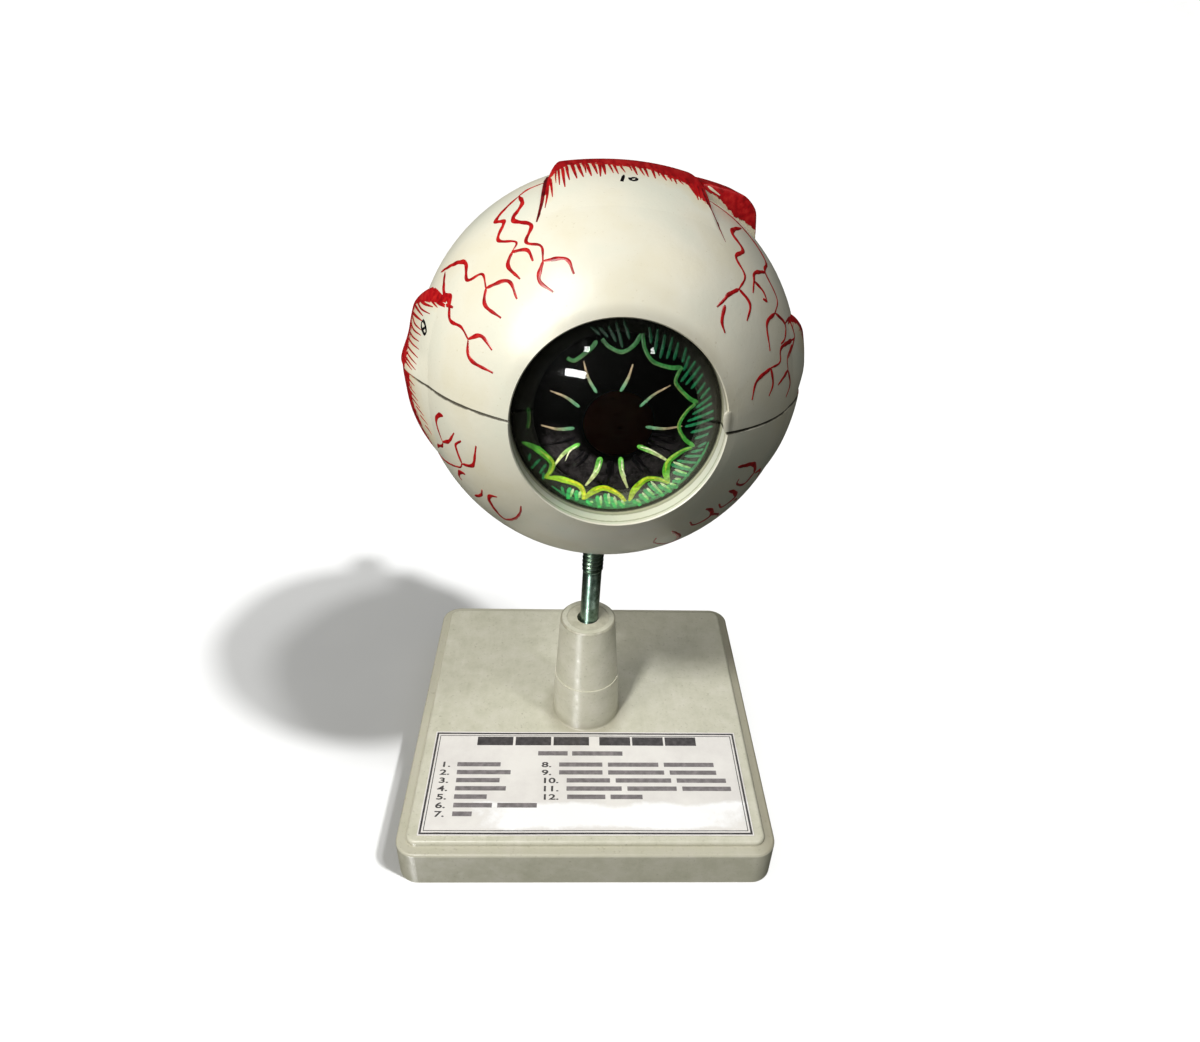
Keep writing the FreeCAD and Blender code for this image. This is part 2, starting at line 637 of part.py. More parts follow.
# ---------------------------------------------------------------- the nodes
def nodes():
    """Every piece by its node's name."""
    pieces = {
        "base_shell": base_shell(),
        "base_cover": base_cover(),
        "cover_screws": cover_screws(),
        "key_card": key_card(),
        "post_sleeve": post_sleeve(),
        "post_bush": post_bush(),
        "support_rod": support_rod(),
        "rod_washers": rod_washers(),
        "rod_nuts": rod_nuts(),
        "thread_insert": thread_insert(),
        "cornea": cornea(),
        "iris": iris(),
        "lens": lens(),
        "optic_nerve": optic_nerve(),
        "nerve_core": nerve_core(),
        "yellow_spot": yellow_spot(),
        "locating_pegs": locating_pegs(),
        "superior_rectus": superior_rectus(),
        "superior_oblique": superior_oblique(),
    }
    for upper, half in ((True, "upper"), (False, "lower")):
        pieces["sclera_" + half] = sclera(upper)
        pieces["choroid_" + half] = choroid(upper)
        pieces["retina_" + half] = retina(upper)
        pieces["ciliary_ring_" + half] = ciliary_ring(upper)
        pieces["medial_rectus_" + half] = side_rectus(-1, upper)
        pieces["lateral_rectus_" + half] = side_rectus(1, upper)
    return pieces


os.makedirs("parts", exist_ok=True)
for name, shape in nodes().items():
    shape.exportStep("parts/" + name + ".step")
    print("%-22s solids %d  volume %9.1f" % (name, len(shape.Solids), shape.Volume))
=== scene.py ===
"""Looks of a five-times life-size model eye on its stand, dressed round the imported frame.

Lengths are millimetres in the frame's axes until a mesh is made, which turns them to metres. The eye's own
axes are side (to the viewer's right), back (along the optic axis, away from the viewer) and up (across the
seam); its origin is the globe's centre.
"""

import json
import logging
import math
from collections.abc import Callable
from dataclasses import dataclass, field
from enum import Enum
from functools import partial

import bpy
import numpy as np
from bpy.types import NodeSocket as Socket, Object
from mathutils import Matrix

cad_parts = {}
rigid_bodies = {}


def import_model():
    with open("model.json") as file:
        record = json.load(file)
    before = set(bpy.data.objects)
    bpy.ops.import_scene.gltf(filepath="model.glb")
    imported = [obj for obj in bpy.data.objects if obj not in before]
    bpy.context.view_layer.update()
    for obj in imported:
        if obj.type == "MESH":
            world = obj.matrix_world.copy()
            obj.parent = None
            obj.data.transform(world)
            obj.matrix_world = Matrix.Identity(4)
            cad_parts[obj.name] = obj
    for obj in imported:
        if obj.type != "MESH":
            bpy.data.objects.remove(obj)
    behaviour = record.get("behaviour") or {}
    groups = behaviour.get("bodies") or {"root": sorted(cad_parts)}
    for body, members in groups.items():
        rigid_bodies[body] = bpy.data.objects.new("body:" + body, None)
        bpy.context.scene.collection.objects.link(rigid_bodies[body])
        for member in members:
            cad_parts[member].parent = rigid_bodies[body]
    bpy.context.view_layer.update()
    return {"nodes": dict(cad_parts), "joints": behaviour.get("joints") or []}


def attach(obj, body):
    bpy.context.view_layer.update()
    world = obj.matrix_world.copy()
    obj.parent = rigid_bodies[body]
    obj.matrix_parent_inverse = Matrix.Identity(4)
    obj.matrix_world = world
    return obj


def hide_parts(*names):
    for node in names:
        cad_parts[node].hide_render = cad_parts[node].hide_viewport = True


Array = np.ndarray
Colour = tuple[float, float, float, float]
Pixels = tuple[float, ...]  # places in the image, x and y by turns
Rows = tuple[tuple[float, ...], ...]
Pair = tuple[float, float]
Triple = tuple[float, float, float]
Vessels = dict[str, tuple[Pixels, ...]]
Adder = Callable[..., Socket]
MM = 0.001
LOG = logging.getLogger("model_eye")


class Body(Enum):
    """Bodies of the frame that pieces ride on."""

    BASE = "base"
    LOWER = "lower_eye"
    UPPER = "upper_eye"
    IRIS = "iris"


# ---- sizes shared with the frame, millimetres
GLOBE_R = 60
GLOBE_CENTRE = np.array([3.75, 0, 172.7])
IRIS_FACE_R = 60.7
IRIS_CROWN = 50.35
RETINA_R = 53.6
PANEL_Z = 18
CARD_THICK = 0.3
POST_Y = 1.5
PIXELS_PER_MM = 2.8  # at the globe, in the camera's image


# ---- small tools
def linear(code: str) -> Colour:
    """Turn an sRGB hex colour into the linear values that shaders take.

    Args:
        code: six hex digits, such as "c8b79a".

    Returns:
        Linear red, green, blue and an alpha of one.
    """
    srgb = np.array([int(code[i:i + 2], 16) for i in (0, 2, 4)]) / 255
    rgb = np.where(srgb <= 0.04045, srgb / 12.92, ((srgb + 0.055) / 1.055) ** 2.4)
    return (*rgb.tolist(), 1)


def fineness(size_mm: float) -> float:
    """Scale of a pattern whose features are size_mm across, on coordinates in metres."""
    return 1 / (size_mm * MM)


def unit(vectors: Array) -> Array:
    """Vectors scaled to length one along the last axis."""
    return vectors / np.maximum(np.linalg.norm(vectors, axis=-1, keepdims=True), 1e-9)


def rounded(distance: Array, radius: float) -> Array:
    """Quarter ellipse that climbs from 0 at an edge to 1 at radius inside it."""
    near = np.clip(distance / radius, 0, 1)
    return np.sqrt(1 - (1 - near) ** 2)


def smoothstep(low: float, high: float, value: Array) -> Array:
    """Soft step from 0 at low to 1 at high."""
    t = np.clip((value - low) / (high - low), 0, 1)
    return t * t * (3 - 2 * t)


def crowded(count: int) -> Array:
    """Values from -1 to 1, packed towards both ends as a sine packs them."""
    return np.sin(np.linspace(-math.pi / 2, math.pi / 2, count))


def pairs(row: Pixels) -> Array:
    """Places, one a row of two, from a row of numbers."""
    return np.array(row, float).reshape(-1, 2)


def stacked(*columns: Array) -> Array:
    """Arrays of one shape put together along a new last axis."""
    return np.stack(columns, axis=-1)


def full_turn(count: int) -> Array:
    """Even angles once round, from 0."""
    return np.linspace(0, 2 * math.pi, count, endpoint=False)


def direction(turn: Array | float, rise: Array | float) -> Array:
    """Unit directions at a turn from the second axis towards the first and a rise towards the third."""
    return stacked(np.sin(turn) * np.cos(rise), np.cos(turn) * np.cos(rise), np.sin(rise))


def spokes(axis: Array, hint: Triple, turn: Array) -> Array:
    """Unit directions square to an axis at these turns, the first of them square to the hint too."""
    first = unit(np.cross(axis, hint))
    return np.cos(turn)[:, None] * first + np.sin(turn)[:, None] * np.cross(axis, first)


def smooth_route(knots: Array, spacing: float) -> Array:
    """Carry a smooth line through knots.

    A Catmull-Rom cubic joins each pair of knots, and the whole line is then cut at equal lengths.

    Args:
        knots: n by d points in order.
        spacing: distance between the returned points.

    Returns:
        m by d points, the first and last knots among them.
    """
    padded = np.vstack([2 * knots[0] - knots[1], knots, 2 * knots[-1] - knots[-2]])
    a, b, c, d = (padded[i:len(padded) - 3 + i, None] for i in range(4))
    t = np.linspace(0, 1, 12, endpoint=False)[None, :, None]
    curve = b + 0.5 * t * (c - a + t * (2 * a - 5 * b + 4 * c - d + t * (3 * (b - c) + d - a)))
    curve = np.vstack([curve.reshape(-1, knots.shape[1]), knots[-1]])
    length = np.r_[0, np.cumsum(np.linalg.norm(np.diff(curve, axis=0), axis=1))]
    even = np.linspace(0, length[-1], max(5, int(length[-1] / spacing) + 1))
    return np.stack([np.interp(even, length, column) for column in curve.T], axis=1)


CHOICES = {"Math": "operation", "VectorMath": "operation", "Mix": "data_type",
    "MapRange": "interpolation_type", "TexVoronoi": "feature"}


def add_node(tree: bpy.types.NodeTree, kind: str, *values: object, out: str = "", stops: tuple = (),
        **named: object) -> Socket:
    """Add one shader node with its settings, values and links.

    Args:
        tree: the material's or world's node tree.
        kind: the node's type without its "ShaderNode", with its CHOICES setting after a full stop.
        values: value or output socket for each input in use, in the node's own order.
        out: name of the output that is handed back, the first one in use if none is given.
        stops: places and hex colours, where the node is a colour ramp.
        named: inputs by their names, with _ for a space, and the node's settings, which start small.

    Returns:
        The output socket.
    """
    kind, _, choice = kind.partition(".")
    node = tree.nodes.new("ShaderNode" + kind)
    if choice:
        setattr(node, CHOICES[kind], choice)
    for name, value in named.items():
        if name[0].islower():
            setattr(node, name, value)
    sockets = list(zip([socket for socket in node.inputs if socket.enabled], values))
    sockets += [(node.inputs[name.replace("_", " ")], value) for name, value in named.items()
        if name[0].isupper()]
    for socket, value in sockets:
        if isinstance(value, Socket):
            tree.links.new(value, socket)
        else:
            socket.default_value = value
    if stops:
        elements = node.color_ramp.elements
        while len(elements) < len(stops):
            elements.new(1)
        for element, (place, code) in zip(elements, stops):
            element.position = place
            element.color = linear(code)
    return node.outputs[out] if out else next((socket for socket in node.outputs if socket.enabled), None)


# ---- surfaces
@dataclass
class Surface:
    """Skin of a piece: points in millimetres, faces of four and three sides, and values kept on points."""

    points: Array
    quads: Array
    tris: Array = field(default_factory=lambda: np.zeros((0, 3), int))
    marks: dict[str, Array] = field(default_factory=dict)

    def outward(self) -> "Surface":
        """Turn the faces outwards, judged by the sign of the volume that they enclose."""
        faces = np.vstack([self.quads[:, [0, 1, 2]], self.quads[:, [0, 2, 3]], self.tris])
        corners = (self.points - self.points.mean(axis=0))[faces]
        volume = np.einsum("ij,ij->i", corners[:, 0], np.cross(corners[:, 1], corners[:, 2])).sum()
        if volume >= 0:
            return self
        return Surface(self.points, self.quads[:, ::-1], self.tris[:, ::-1], self.marks)

    @staticmethod
    def joined(parts: list["Surface"]) -> "Surface":
        """One skin made of several, with the values that all of them carry.

        Args:
            parts: the skins.

        Returns:
            Their joined skin.
        """
        starts = np.cumsum([0] + [len(part.points) for part in parts[:-1]])
        shared = set(parts[0].marks).intersection(*[part.marks for part in parts])
        return Surface(np.vstack([part.points for part in parts]),
            np.vstack([part.quads + start for part, start in zip(parts, starts)]),
            np.vstack([part.tris + start for part, start in zip(parts, starts)]),
            {name: np.concatenate([part.marks[name] for part in parts]) for name in shared})


def ring_grid(rows: int, around: int) -> tuple[Array, Array]:
    """Numbers of the points of rings, one ring a row, and of each point's neighbour round its ring."""
    index = np.arange(rows * around).reshape(rows, around)
    return index, np.roll(index, -1, axis=1)


def capped_tube(rings: Array) -> Surface:
    """Close a row of rings into a tube with a fan over each end.

    Args:
        rings: rows by around by 3 points.

    Returns:
        The closed skin; each fan meets at its ring's mean.
    """
    count, around = rings.shape[:2]
    index, ahead = ring_grid(count, around)
    quads = stacked(index[:-1], ahead[:-1], ahead[1:], index[1:]).reshape(-1, 4)
    first = np.full(around, count * around)
    fans = np.concatenate([stacked(first, ahead[0], index[0]), stacked(first + 1, index[-1], ahead[-1])])
    points = np.vstack([rings.reshape(-1, 3), rings[0].mean(axis=0), rings[-1].mean(axis=0)])
    return Surface(points, quads, fans).outward()


def slab(top: Array, bottom: Array) -> Surface:
    """Close two like grids, one over the other, with a wall round their rims.

    Args:
        top: rows by columns by 3 points.
        bottom: as many points under them.

    Returns:
        The closed skin, top's points first.
    """
    rows, columns = top.shape[:2]
    index = np.arange(rows * columns).reshape(rows, columns)
    face = stacked(index[:-1, :-1], index[1:, :-1], index[1:, 1:], index[:-1, 1:]).reshape(-1, 4)
    rim = np.concatenate([index[0, :-1], index[:-1, -1], index[-1, :0:-1], index[:0:-1, 0]])
    ahead = np.roll(rim, -1)
    under = rows * columns
    wall = stacked(rim, ahead, ahead + under, rim + under)
    points = np.vstack([top.reshape(-1, 3), bottom.reshape(-1, 3)])
    return Surface(points, np.vstack([face, face[:, ::-1] + under, wall])).outward()


def turned_ring(profile: Array, foot: Array, axis: Array, around: int,
        swell: Callable[[Array, Array], Array] | None = None) -> Surface:
    """Turn a closed outline about an axis.

    Point = foot + axis * reach + spoke * radius, with the spoke square to the axis.

    Args:
        profile: n by 2 radii and reaches, closed from last to first.
        foot: point on the axis where reach is 0.
        axis: its direction.
        around: points round the ring.
        swell: factor on the radius for a reach and a turn.

    Returns:
        The closed skin.
    """
    turn = full_turn(around)
    axis = unit(axis)
    radius = profile[:, None, 0] * np.ones(around)
    if swell:
        radius = radius * swell(profile[:, None, 1], turn[None])
    points = foot + profile[:, None, 1, None] * axis + radius[..., None] * spokes(axis, (0.3, 0.1, 1), turn)
    index, ahead = ring_grid(len(profile), around)
    below, ahead_below = np.roll(index, -1, axis=0), np.roll(ahead, -1, axis=0)
    quads = stacked(index, ahead, ahead_below, below).reshape(-1, 4)
    return Surface(points.reshape(-1, 3), quads).outward()


def brush_line(route: Array, normals: Array, widths: Array, thick: float, around: int = 8) -> Surface:
    """Lay a stroke of paint along a route: a flattened tube, half sunk into what it lies on.

    Ring point = route + across * (width / 2 * cos t) + normal * (thickness / 2 * sin t), where across is
    square to the route and the normal, and the thickness falls with the root of the width.

    Args:
        route: n by 3 points.
        normals: n by 3 directions out of the painted surface.
        widths: n widths.
        thick: thickness where it is widest.
        around: points round the tube.

    Returns:
        The closed skin, with the mark "along" from 0 to 1 at the tip.
    """
    normals = unit(normals)
    across = unit(np.cross(normals, np.gradient(route, axis=0)))
    turn = full_turn(around)
    height = thick * np.sqrt(widths / widths.max())
    rings = (route[:, None] + across[:, None] * (widths[:, None] / 2 * np.cos(turn))[..., None]
        + normals[:, None] * (height[:, None] / 2 * np.sin(turn))[..., None])
    line = capped_tube(rings)
    along = np.repeat(np.linspace(0, 1, len(route)), around)
    line.marks["along"] = np.r_[along, 0, 1]
    return line


def stroke_widths(count: int, start: float, full: float, tip: float) -> Array:
    """Widths of a stroke that swells from start to full in its first third and thins to its tip."""
    return np.interp(np.linspace(0, 1, count), (0, 0.06, 0.3, 0.7, 1),
        (start * 0.4, start, full, (full + tip) / 2, tip))


def make_object(name: str, surface: Surface) -> Object:
    """Make a mesh object from a surface, in metres, smooth but for edges sharper than 38 degrees.

    Args:
        name: the object's name.
        surface: its skin, in millimetres.

    Returns:
        The linked object.
    """
    mesh = bpy.data.meshes.new(name)
    loops = np.concatenate([surface.quads.ravel(), surface.tris.ravel()]).astype(np.int32)
    totals = np.concatenate([np.full(len(surface.quads), 4), np.full(len(surface.tris), 3)])
    starts = np.r_[0, np.cumsum(totals)[:-1]]
    mesh.vertices.add(len(surface.points))
    mesh.vertices.foreach_set("co", (surface.points * MM).astype(np.float32).ravel())
    mesh.loops.add(len(loops))
    mesh.loops.foreach_set("vertex_index", loops)
    mesh.polygons.add(len(totals))
    mesh.polygons.foreach_set("loop_start", starts.astype(np.int32))
    mesh.polygons.foreach_set("use_smooth", np.ones(len(totals), bool))
    mesh.update(calc_edges=True)
    mesh.set_sharp_from_angle(angle=math.radians(38))
    for mark, values in surface.marks.items():
        if values.ndim == 2:
            mesh.attributes.new(mark, "FLOAT_COLOR", "POINT").data.foreach_set("color",
                values.astype(np.float32).ravel())
        else:
            mesh.attributes.new(mark, "FLOAT", "POINT").data.foreach_set("value", values.astype(np.float32))
    mesh.validate()
    made = bpy.data.objects.new(name, mesh)
    bpy.context.scene.collection.objects.link(made)
    return made


def placed(name: str, data: bpy.types.ID, axes: tuple[Array, ...], place: Array) -> Object:
    """Make a camera's or a light's object and turn it into place.

    Args:
        name: the object's name.
        data: its camera or light.
        axes: directions of its own x, y and z.
        place: where its origin is, in millimetres.

    Returns:
        The object.
    """
    made = bpy.data.objects.new(name, data)
    bpy.context.scene.collection.objects.link(made)
    turn = Matrix(np.array(axes).T.tolist()).to_4x4()
    made.matrix_world = Matrix.Translation((place * MM).tolist()) @ turn
    return made


# ---- where things are
def left_of(points: Array, line: Array) -> Array:
    """Distance from points to a drawn line, positive on its left hand.

    Each point takes the nearest piece of the line, and the sign of the cross product with that piece.

    Args:
        points: places in the image, any shape by 2.
        line: n by 2 places.

    Returns:
        Distances in pixels.
    """
    step = np.diff(line, axis=0)
    offset = points[..., None, :] - line[:-1]
    share = np.clip((offset * step).sum(axis=-1) / (step ** 2).sum(axis=-1), 0, 1)
    away = np.linalg.norm(offset - share[..., None] * step, axis=-1)
    side = np.sign(step[:, 1] * offset[..., 0] - step[:, 0] * offset[..., 1])
    nearest = away.argmin(axis=-1)[..., None]
    return (np.take_along_axis(away, nearest, -1) * np.take_along_axis(side, nearest, -1))[..., 0]


@dataclass(frozen=True)
class Viewpoint:
    """Place and lens of the camera, for an image of 1200 by 1042."""

    focal: float = 817.63  # pixels
    middle: Pair = (600, 521)
    width: float = 1200
    pitch: float = 33.26  # degrees down
    yaw: float = 2.07  # degrees to the right
    roll: float = 1.83
    place: Triple = (-5.46, -247.71, 276.31)
    sensor: float = 36

    def axes(self) -> Array:
        """Right, up and forward of the camera, one a row."""
        pitch, yaw, roll = np.radians([self.pitch, self.yaw, self.roll])
        forward = direction(yaw, -pitch)
        level = np.array([math.cos(yaw), -math.sin(yaw), 0])
        over = np.cross(level, forward)
        return np.array([math.cos(roll) * level + math.sin(roll) * over,
            math.cos(roll) * over - math.sin(roll) * level, forward])

    def rays(self, pixels: Array) -> Array:
        """Unit directions from the camera through pixels."""
        right, up, forward = self.axes()
        x, y = (np.atleast_2d(pixels) - self.middle).T / self.focal
        return unit(forward + x[:, None] * right - y[:, None] * up)

    def onto_ball(self, pixels: Array, centre: Array, radius: float | Array) -> Array:
        """Points where pixels meet the near side of a ball, or its rim where they pass it by.

        Args:
            pixels: n by 2 places in the image.
            centre: centre of the ball.
            radius: its radius, or one for each pixel.

        Returns:
            n by 3 points on the ball.
        """
        ways = self.rays(pixels)
        offset = np.array(self.place) - centre
        middle = ways @ offset
        depth = np.sqrt(np.maximum(middle ** 2 - offset @ offset + radius ** 2, 0))
        met = offset + ways * (-middle - depth)[:, None]
        return centre + unit(met) * np.broadcast_to(radius, len(met))[:, None]

    def onto_image(self, points: Array) -> Array:
        """Pixels at which points of the frame are seen.

        Args:
            points: any shape by 3.

        Returns:
            As many places in the image.
        """
        right, up, forward = self.axes()
        offset = points - np.array(self.place)
        seen = stacked(offset @ right, -(offset @ up)) / (offset @ forward)[..., None]
        return np.array(self.middle) + seen * self.focal

    def build(self) -> Object:
        """Make the camera and hand it to the scene."""
        data = bpy.data.cameras.new("viewpoint")
        data.sensor_width = self.sensor
        data.sensor_fit = "HORIZONTAL"
        data.lens = self.focal * self.sensor / self.width
        data.clip_start, data.clip_end = 0.01, 60
        right, up, forward = self.axes()
        camera = placed("viewpoint", data, (right, up, -forward), np.array(self.place))
        bpy.context.scene.camera = camera
        return camera


@dataclass(frozen=True)
class EyeAxes:
    """The eye's own frame, taken from the joints' axes."""

    side: Array
    back: Array
    up: Array

    @classmethod
    def from_joints(cls, joints: list[dict]) -> "EyeAxes":
        """Read the seam's normal and the optic axis from the joints that slide along them.

        Args:
            joints: the frame's joints.

        Returns:
            The axes.
        """
        axis = {joint["name"]: unit(np.array(joint["axis"], float)) for joint in joints}
        up, out = axis["upper_half_lift"], axis["cornea_pull"]
        return cls(unit(np.cross(up, out)), -out, up)

    def world(self, local: Array) -> Array:
        """Points of the frame for points given in the eye's axes."""
        return GLOBE_CENTRE + local @ np.array([self.side, self.back, self.up])

    def local(self, points: Array) -> Array:
        """Points in the eye's axes for points of the frame."""
        return (points - GLOBE_CENTRE) @ np.array([self.side, self.back, self.up]).T

    def way(self, local: Array) -> Array:
        """Direction in the frame for a direction in the eye's axes."""
        return unit(np.asarray(local, float) @ np.array([self.side, self.back, self.up]))


# ---- finishes
@dataclass(frozen=True)
class Finish:
    """A finish, made once as a material and shared by the pieces that have it."""

    title: str = "finish"

    def material(self) -> bpy.types.Material:
        """The material of this finish, made at its first use."""
        made = bpy.data.materials.get(self.title)
        if made is None:
            made = bpy.data.materials.new(self.title)
            made.use_nodes = True
            made.node_tree.nodes.clear()
            add = partial(add_node, made.node_tree)
            add("OutputMaterial", self.shade(add))
        return made

    def shade(self, add: Adder) -> Socket:
        """Lay out the nodes and return the shader's output.

        Args:
            add: adds a node to this material's tree.

        Returns:
            The shader's output socket.
        """
        raise NotImplementedError


@dataclass(frozen=True)
class CreamEnamel(Finish):
    """Cream enamel brushed over a moulded shell: half gloss, yellowing in patches, a dark line in the seam,
    painted shade over the recess's mouth on the upper half, and painted shade in darker rings down the
    recess's wall."""

    title: str = "cream_enamel_brushed"
    base: str = "f0eee1"
    yellowed: str = "ebe6d2"
    cool: str = "e9ece1"
    # dark colour of the seam line and of the painted shade over the mouth
    grime_and_shade: str = "383226"
    patch_mm: float = 22
    brush_mm: float = 1.6
    up: Triple = (0, 0, 1)
    out: Triple = (0, -1, 0)

    def shade(self, add: Adder) -> Socket:
        """Patches, brush lines, a dark seam line, painted shade over the mouth and painted shade rings in the
        recess's wall.
        """
        place = add("TexCoord", out="Object")
        patches = add("TexNoise", place, fineness(self.patch_mm), Detail=4)
        colour = add("ValToRGB", patches, stops=((0.3, self.cool), (0.52, self.base), (0.75, self.yellowed)))
        specks = add("TexNoise", place, fineness(0.9), Detail=2)
        speck = add("MapRange", specks, 0.68, 0.8, 0, 0.35)
        colour = add("Mix.RGBA", speck, colour, linear("b9ad8b"))
        offset = add("VectorMath.SUBTRACT", place, tuple(GLOBE_CENTRE * MM))
        height = add("VectorMath.DOT_PRODUCT", offset, self.up)
        level = add("Math.ABSOLUTE", height)
        ragged = add("TexNoise", place, fineness(5), Detail=5)
        level = add("Math.MULTIPLY_ADD", ragged, -0.0007, level)
        seam = add("MapRange", level, -0.0001, 0.0002, 0.93, 0)
        cross = add("VectorMath.CROSS_PRODUCT", offset, self.out)
        depth = add("VectorMath.DOT_PRODUCT", offset, self.out)
        behind = add("Math.LESS_THAN", depth, 0)
        reach = add("Math.MULTIPLY_ADD", behind, 0.1, add("VectorMath.LENGTH", cross))
        # painted shade: a dark band round the recess's mouth, on the upper half only
        mouth = add("MapRange.SMOOTHSTEP", reach, 0.0298, 0.0335, 0.25, 0)
        above = add("MapRange", height, 0.004, 0.026)
        mouth_shade = add("Math.MULTIPLY", mouth, above)
        dirt_and_shade = add("Math.MAXIMUM", seam, mouth_shade)
        colour = add("Mix.RGBA", dirt_and_shade, colour, linear(self.grime_and_shade))
        # painted shade down the recess's wall: darker rings, darkest at the deep end, multiplied over the
        # enamel
        uneven = add("Math.MULTIPLY_ADD", specks, 0.0006, depth)
        ring = add("MapRange", uneven, 0.0433, 0.0527)
        turned = add("ValToRGB", ring, stops=((0, "6f7265"), (0.14, "8f9283"), (0.2, "dddccd"),
            (0.33, "b6b8a8"), (0.4, "ffffff"), (0.72, "ffffff"), (0.78, "bdbcaa"), (0.84, "ffffff"),
            (1, "ffffff")))
        inside = add("MapRange", reach, 0.0295, 0.0297, 1, 0)
        colour = add("Mix.RGBA", inside, colour, turned, blend_type="MULTIPLY")
        brush = add("TexNoise", place, fineness(self.brush_mm), Detail=3)
        swell = add("TexNoise", place, fineness(9), Detail=1)
        relief = add("Math.MULTIPLY_ADD", swell, 2.5, brush)
        bump = add("Bump", Height=relief, Strength=0.35, Distance=0.00012)
        gloss = add("MapRange", patches, 0.3, 0.7, 0.3, 0.42)
        return add("BsdfPrincipled", Base_Color=colour, Roughness=gloss, Normal=bump, IOR=1.5,
            Coat_Weight=0.25, Coat_Roughness=0.18)


@dataclass(frozen=True)
class MouldedPlastic(Finish):
    """Beige plastic from a mould: a faint orange-peel skin, dust and handling marks, greyer where rubbing has
    marked it, a stain along the ledge under the panel's edge with painted shadow of that edge on the
    right-hand ledge, and darker round the post's foot."""

    title: str = "beige_plastic_moulded"
    base: str = "cccab7"
    deep: str = "bebda8"
    pale: str = "d7d4c5"
    stain: str = "8b8670"
    rough: float = 0.34

    def shade(self, add: Adder) -> Socket:
        """Cloudy colour, fine dark specks, streaks of rubbing, and darker at the post's foot, along the
        ledge, with painted shadow on its right-hand side, and in two grooves on the post's top.
        """
        place = add("TexCoord", out="Object")
        cloud = add("TexNoise", place, fineness(9), Detail=8, Roughness=0.72)
        colour = add("ValToRGB", cloud, stops=((0.28, self.deep), (0.5, self.base), (0.72, self.pale)))
        specks = add("TexNoise", place, fineness(1.1), Detail=3)
        speck = add("MapRange", specks, 0.62, 0.78, 0, 0.5)
        colour = add("Mix.RGBA", speck, colour, linear(self.stain))
        drawn = add("Mapping", place, Rotation=(0, 0, 0.35), Scale=(1, 0.12, 1))
        streaks = add("TexNoise", drawn, fineness(2.4), Detail=4)
        rub = add("MapRange", streaks, 0.55, 0.75, 0, 0.22)
        colour = add("Mix.RGBA", rub, colour, linear("dedbcc"))
        axes = add("SeparateXYZ", place).node.outputs
        behind = add("Math.SUBTRACT", axes["Y"], POST_Y * MM)
        flat = add("CombineXYZ", axes["X"], behind)
        reach = add("VectorMath.LENGTH", flat)
        # darker in a ring at the post's foot, a stain along the ledge with painted shadow of the panel's edge
        # on the right-hand ledge, and two dark grooves on the post's top
        round_foot = add("MapRange.SMOOTHSTEP", reach, 0.0132, 0.021, 0.4, 0)
        low = add("MapRange", axes["Z"], 0.0184, 0.0225, 1, 0)
        foot = add("Math.MULTIPLY", round_foot, low)
        ledge = add("MapRange", axes["Z"], 0.0158, 0.0173, 1, 0)
        on_ledge = add("MapRange", axes["Z"], 0.0152, 0.0156)
        ledge = add("Math.MULTIPLY", ledge, on_ledge)
        # painted shadow of the panel's edge, on the right-hand ledge only
        right = add("MapRange", axes["X"], 0.06, 0.067, 0, 0.8)
        cloud_and_right_shade = add("Math.ADD", cloud, right)
        ledge = add("Math.MULTIPLY", ledge, cloud_and_right_shade)
        dirt_and_shade = add("Math.MULTIPLY_ADD", ledge, 0.5, foot, use_clamp=True)
        high = add("MapRange", axes["Z"], 0.0666, 0.067)
        grooves = add("MapRange", reach, 0.0078, 0.0108)
        grooves = add("ValToRGB", grooves, stops=((0, "000000"), (0.1, "000000"), (0.16, "8a8a8a"),
            (0.24, "000000"), (0.72, "000000"), (0.8, "b4b4b4"), (0.92, "d0d0d0")))
        grooves = add("Math.MULTIPLY", grooves, high)
        patchy = add("MapRange", streaks, 0.35, 0.6, 0.35)
        dirt_and_shade = add("Math.MULTIPLY_ADD", grooves, patchy, dirt_and_shade, use_clamp=True)
        colour = add("Mix.RGBA", dirt_and_shade, colour, linear("7c745c"))
        peel = add("TexNoise", place, fineness(1.3), Detail=2)
        bump = add("Bump", Height=peel, Strength=0.3, Distance=0.0001)
        gloss = add("MapRange", streaks, 0.3, 0.7, self.rough - 0.06, self.rough + 0.1)
        return add("BsdfPrincipled", Base_Color=colour, Roughness=gloss, Normal=bump, IOR=1.49)


@dataclass(frozen=True)
class PlatedSteel(Finish):
    """Zinc-plated steel, passivated: bluish green-grey metal with drawn lines and darker threads."""

    title: str = "zinc_plated_steel_drawn"
    bright: str = "8ba396"
    dull: str = "4f665a"
    rough: float = 0.24

    def shade(self, add: Adder) -> Socket:
        """Mottled plating over fine rings left by the lathe."""
        place = add("TexCoord", out="Object")
        mottle = add("TexNoise", place, fineness(3), Detail=6, Roughness=0.65)
        colour = add("ValToRGB", mottle, stops=((0.35, self.dull), (0.62, self.bright)))
        rings = add("Mapping", place, Scale=(0.1, 0.1, 1))
        lathe = add("TexNoise", rings, fineness(0.35), Detail=2)
        bump = add("Bump", Height=lathe, Strength=0.25, Distance=0.00005)
        gloss = add("MapRange", mottle, 0.3, 0.7, self.rough + 0.14, self.rough)
        return add("BsdfPrincipled", Base_Color=colour, Roughness=gloss, Normal=bump, Metallic=1)


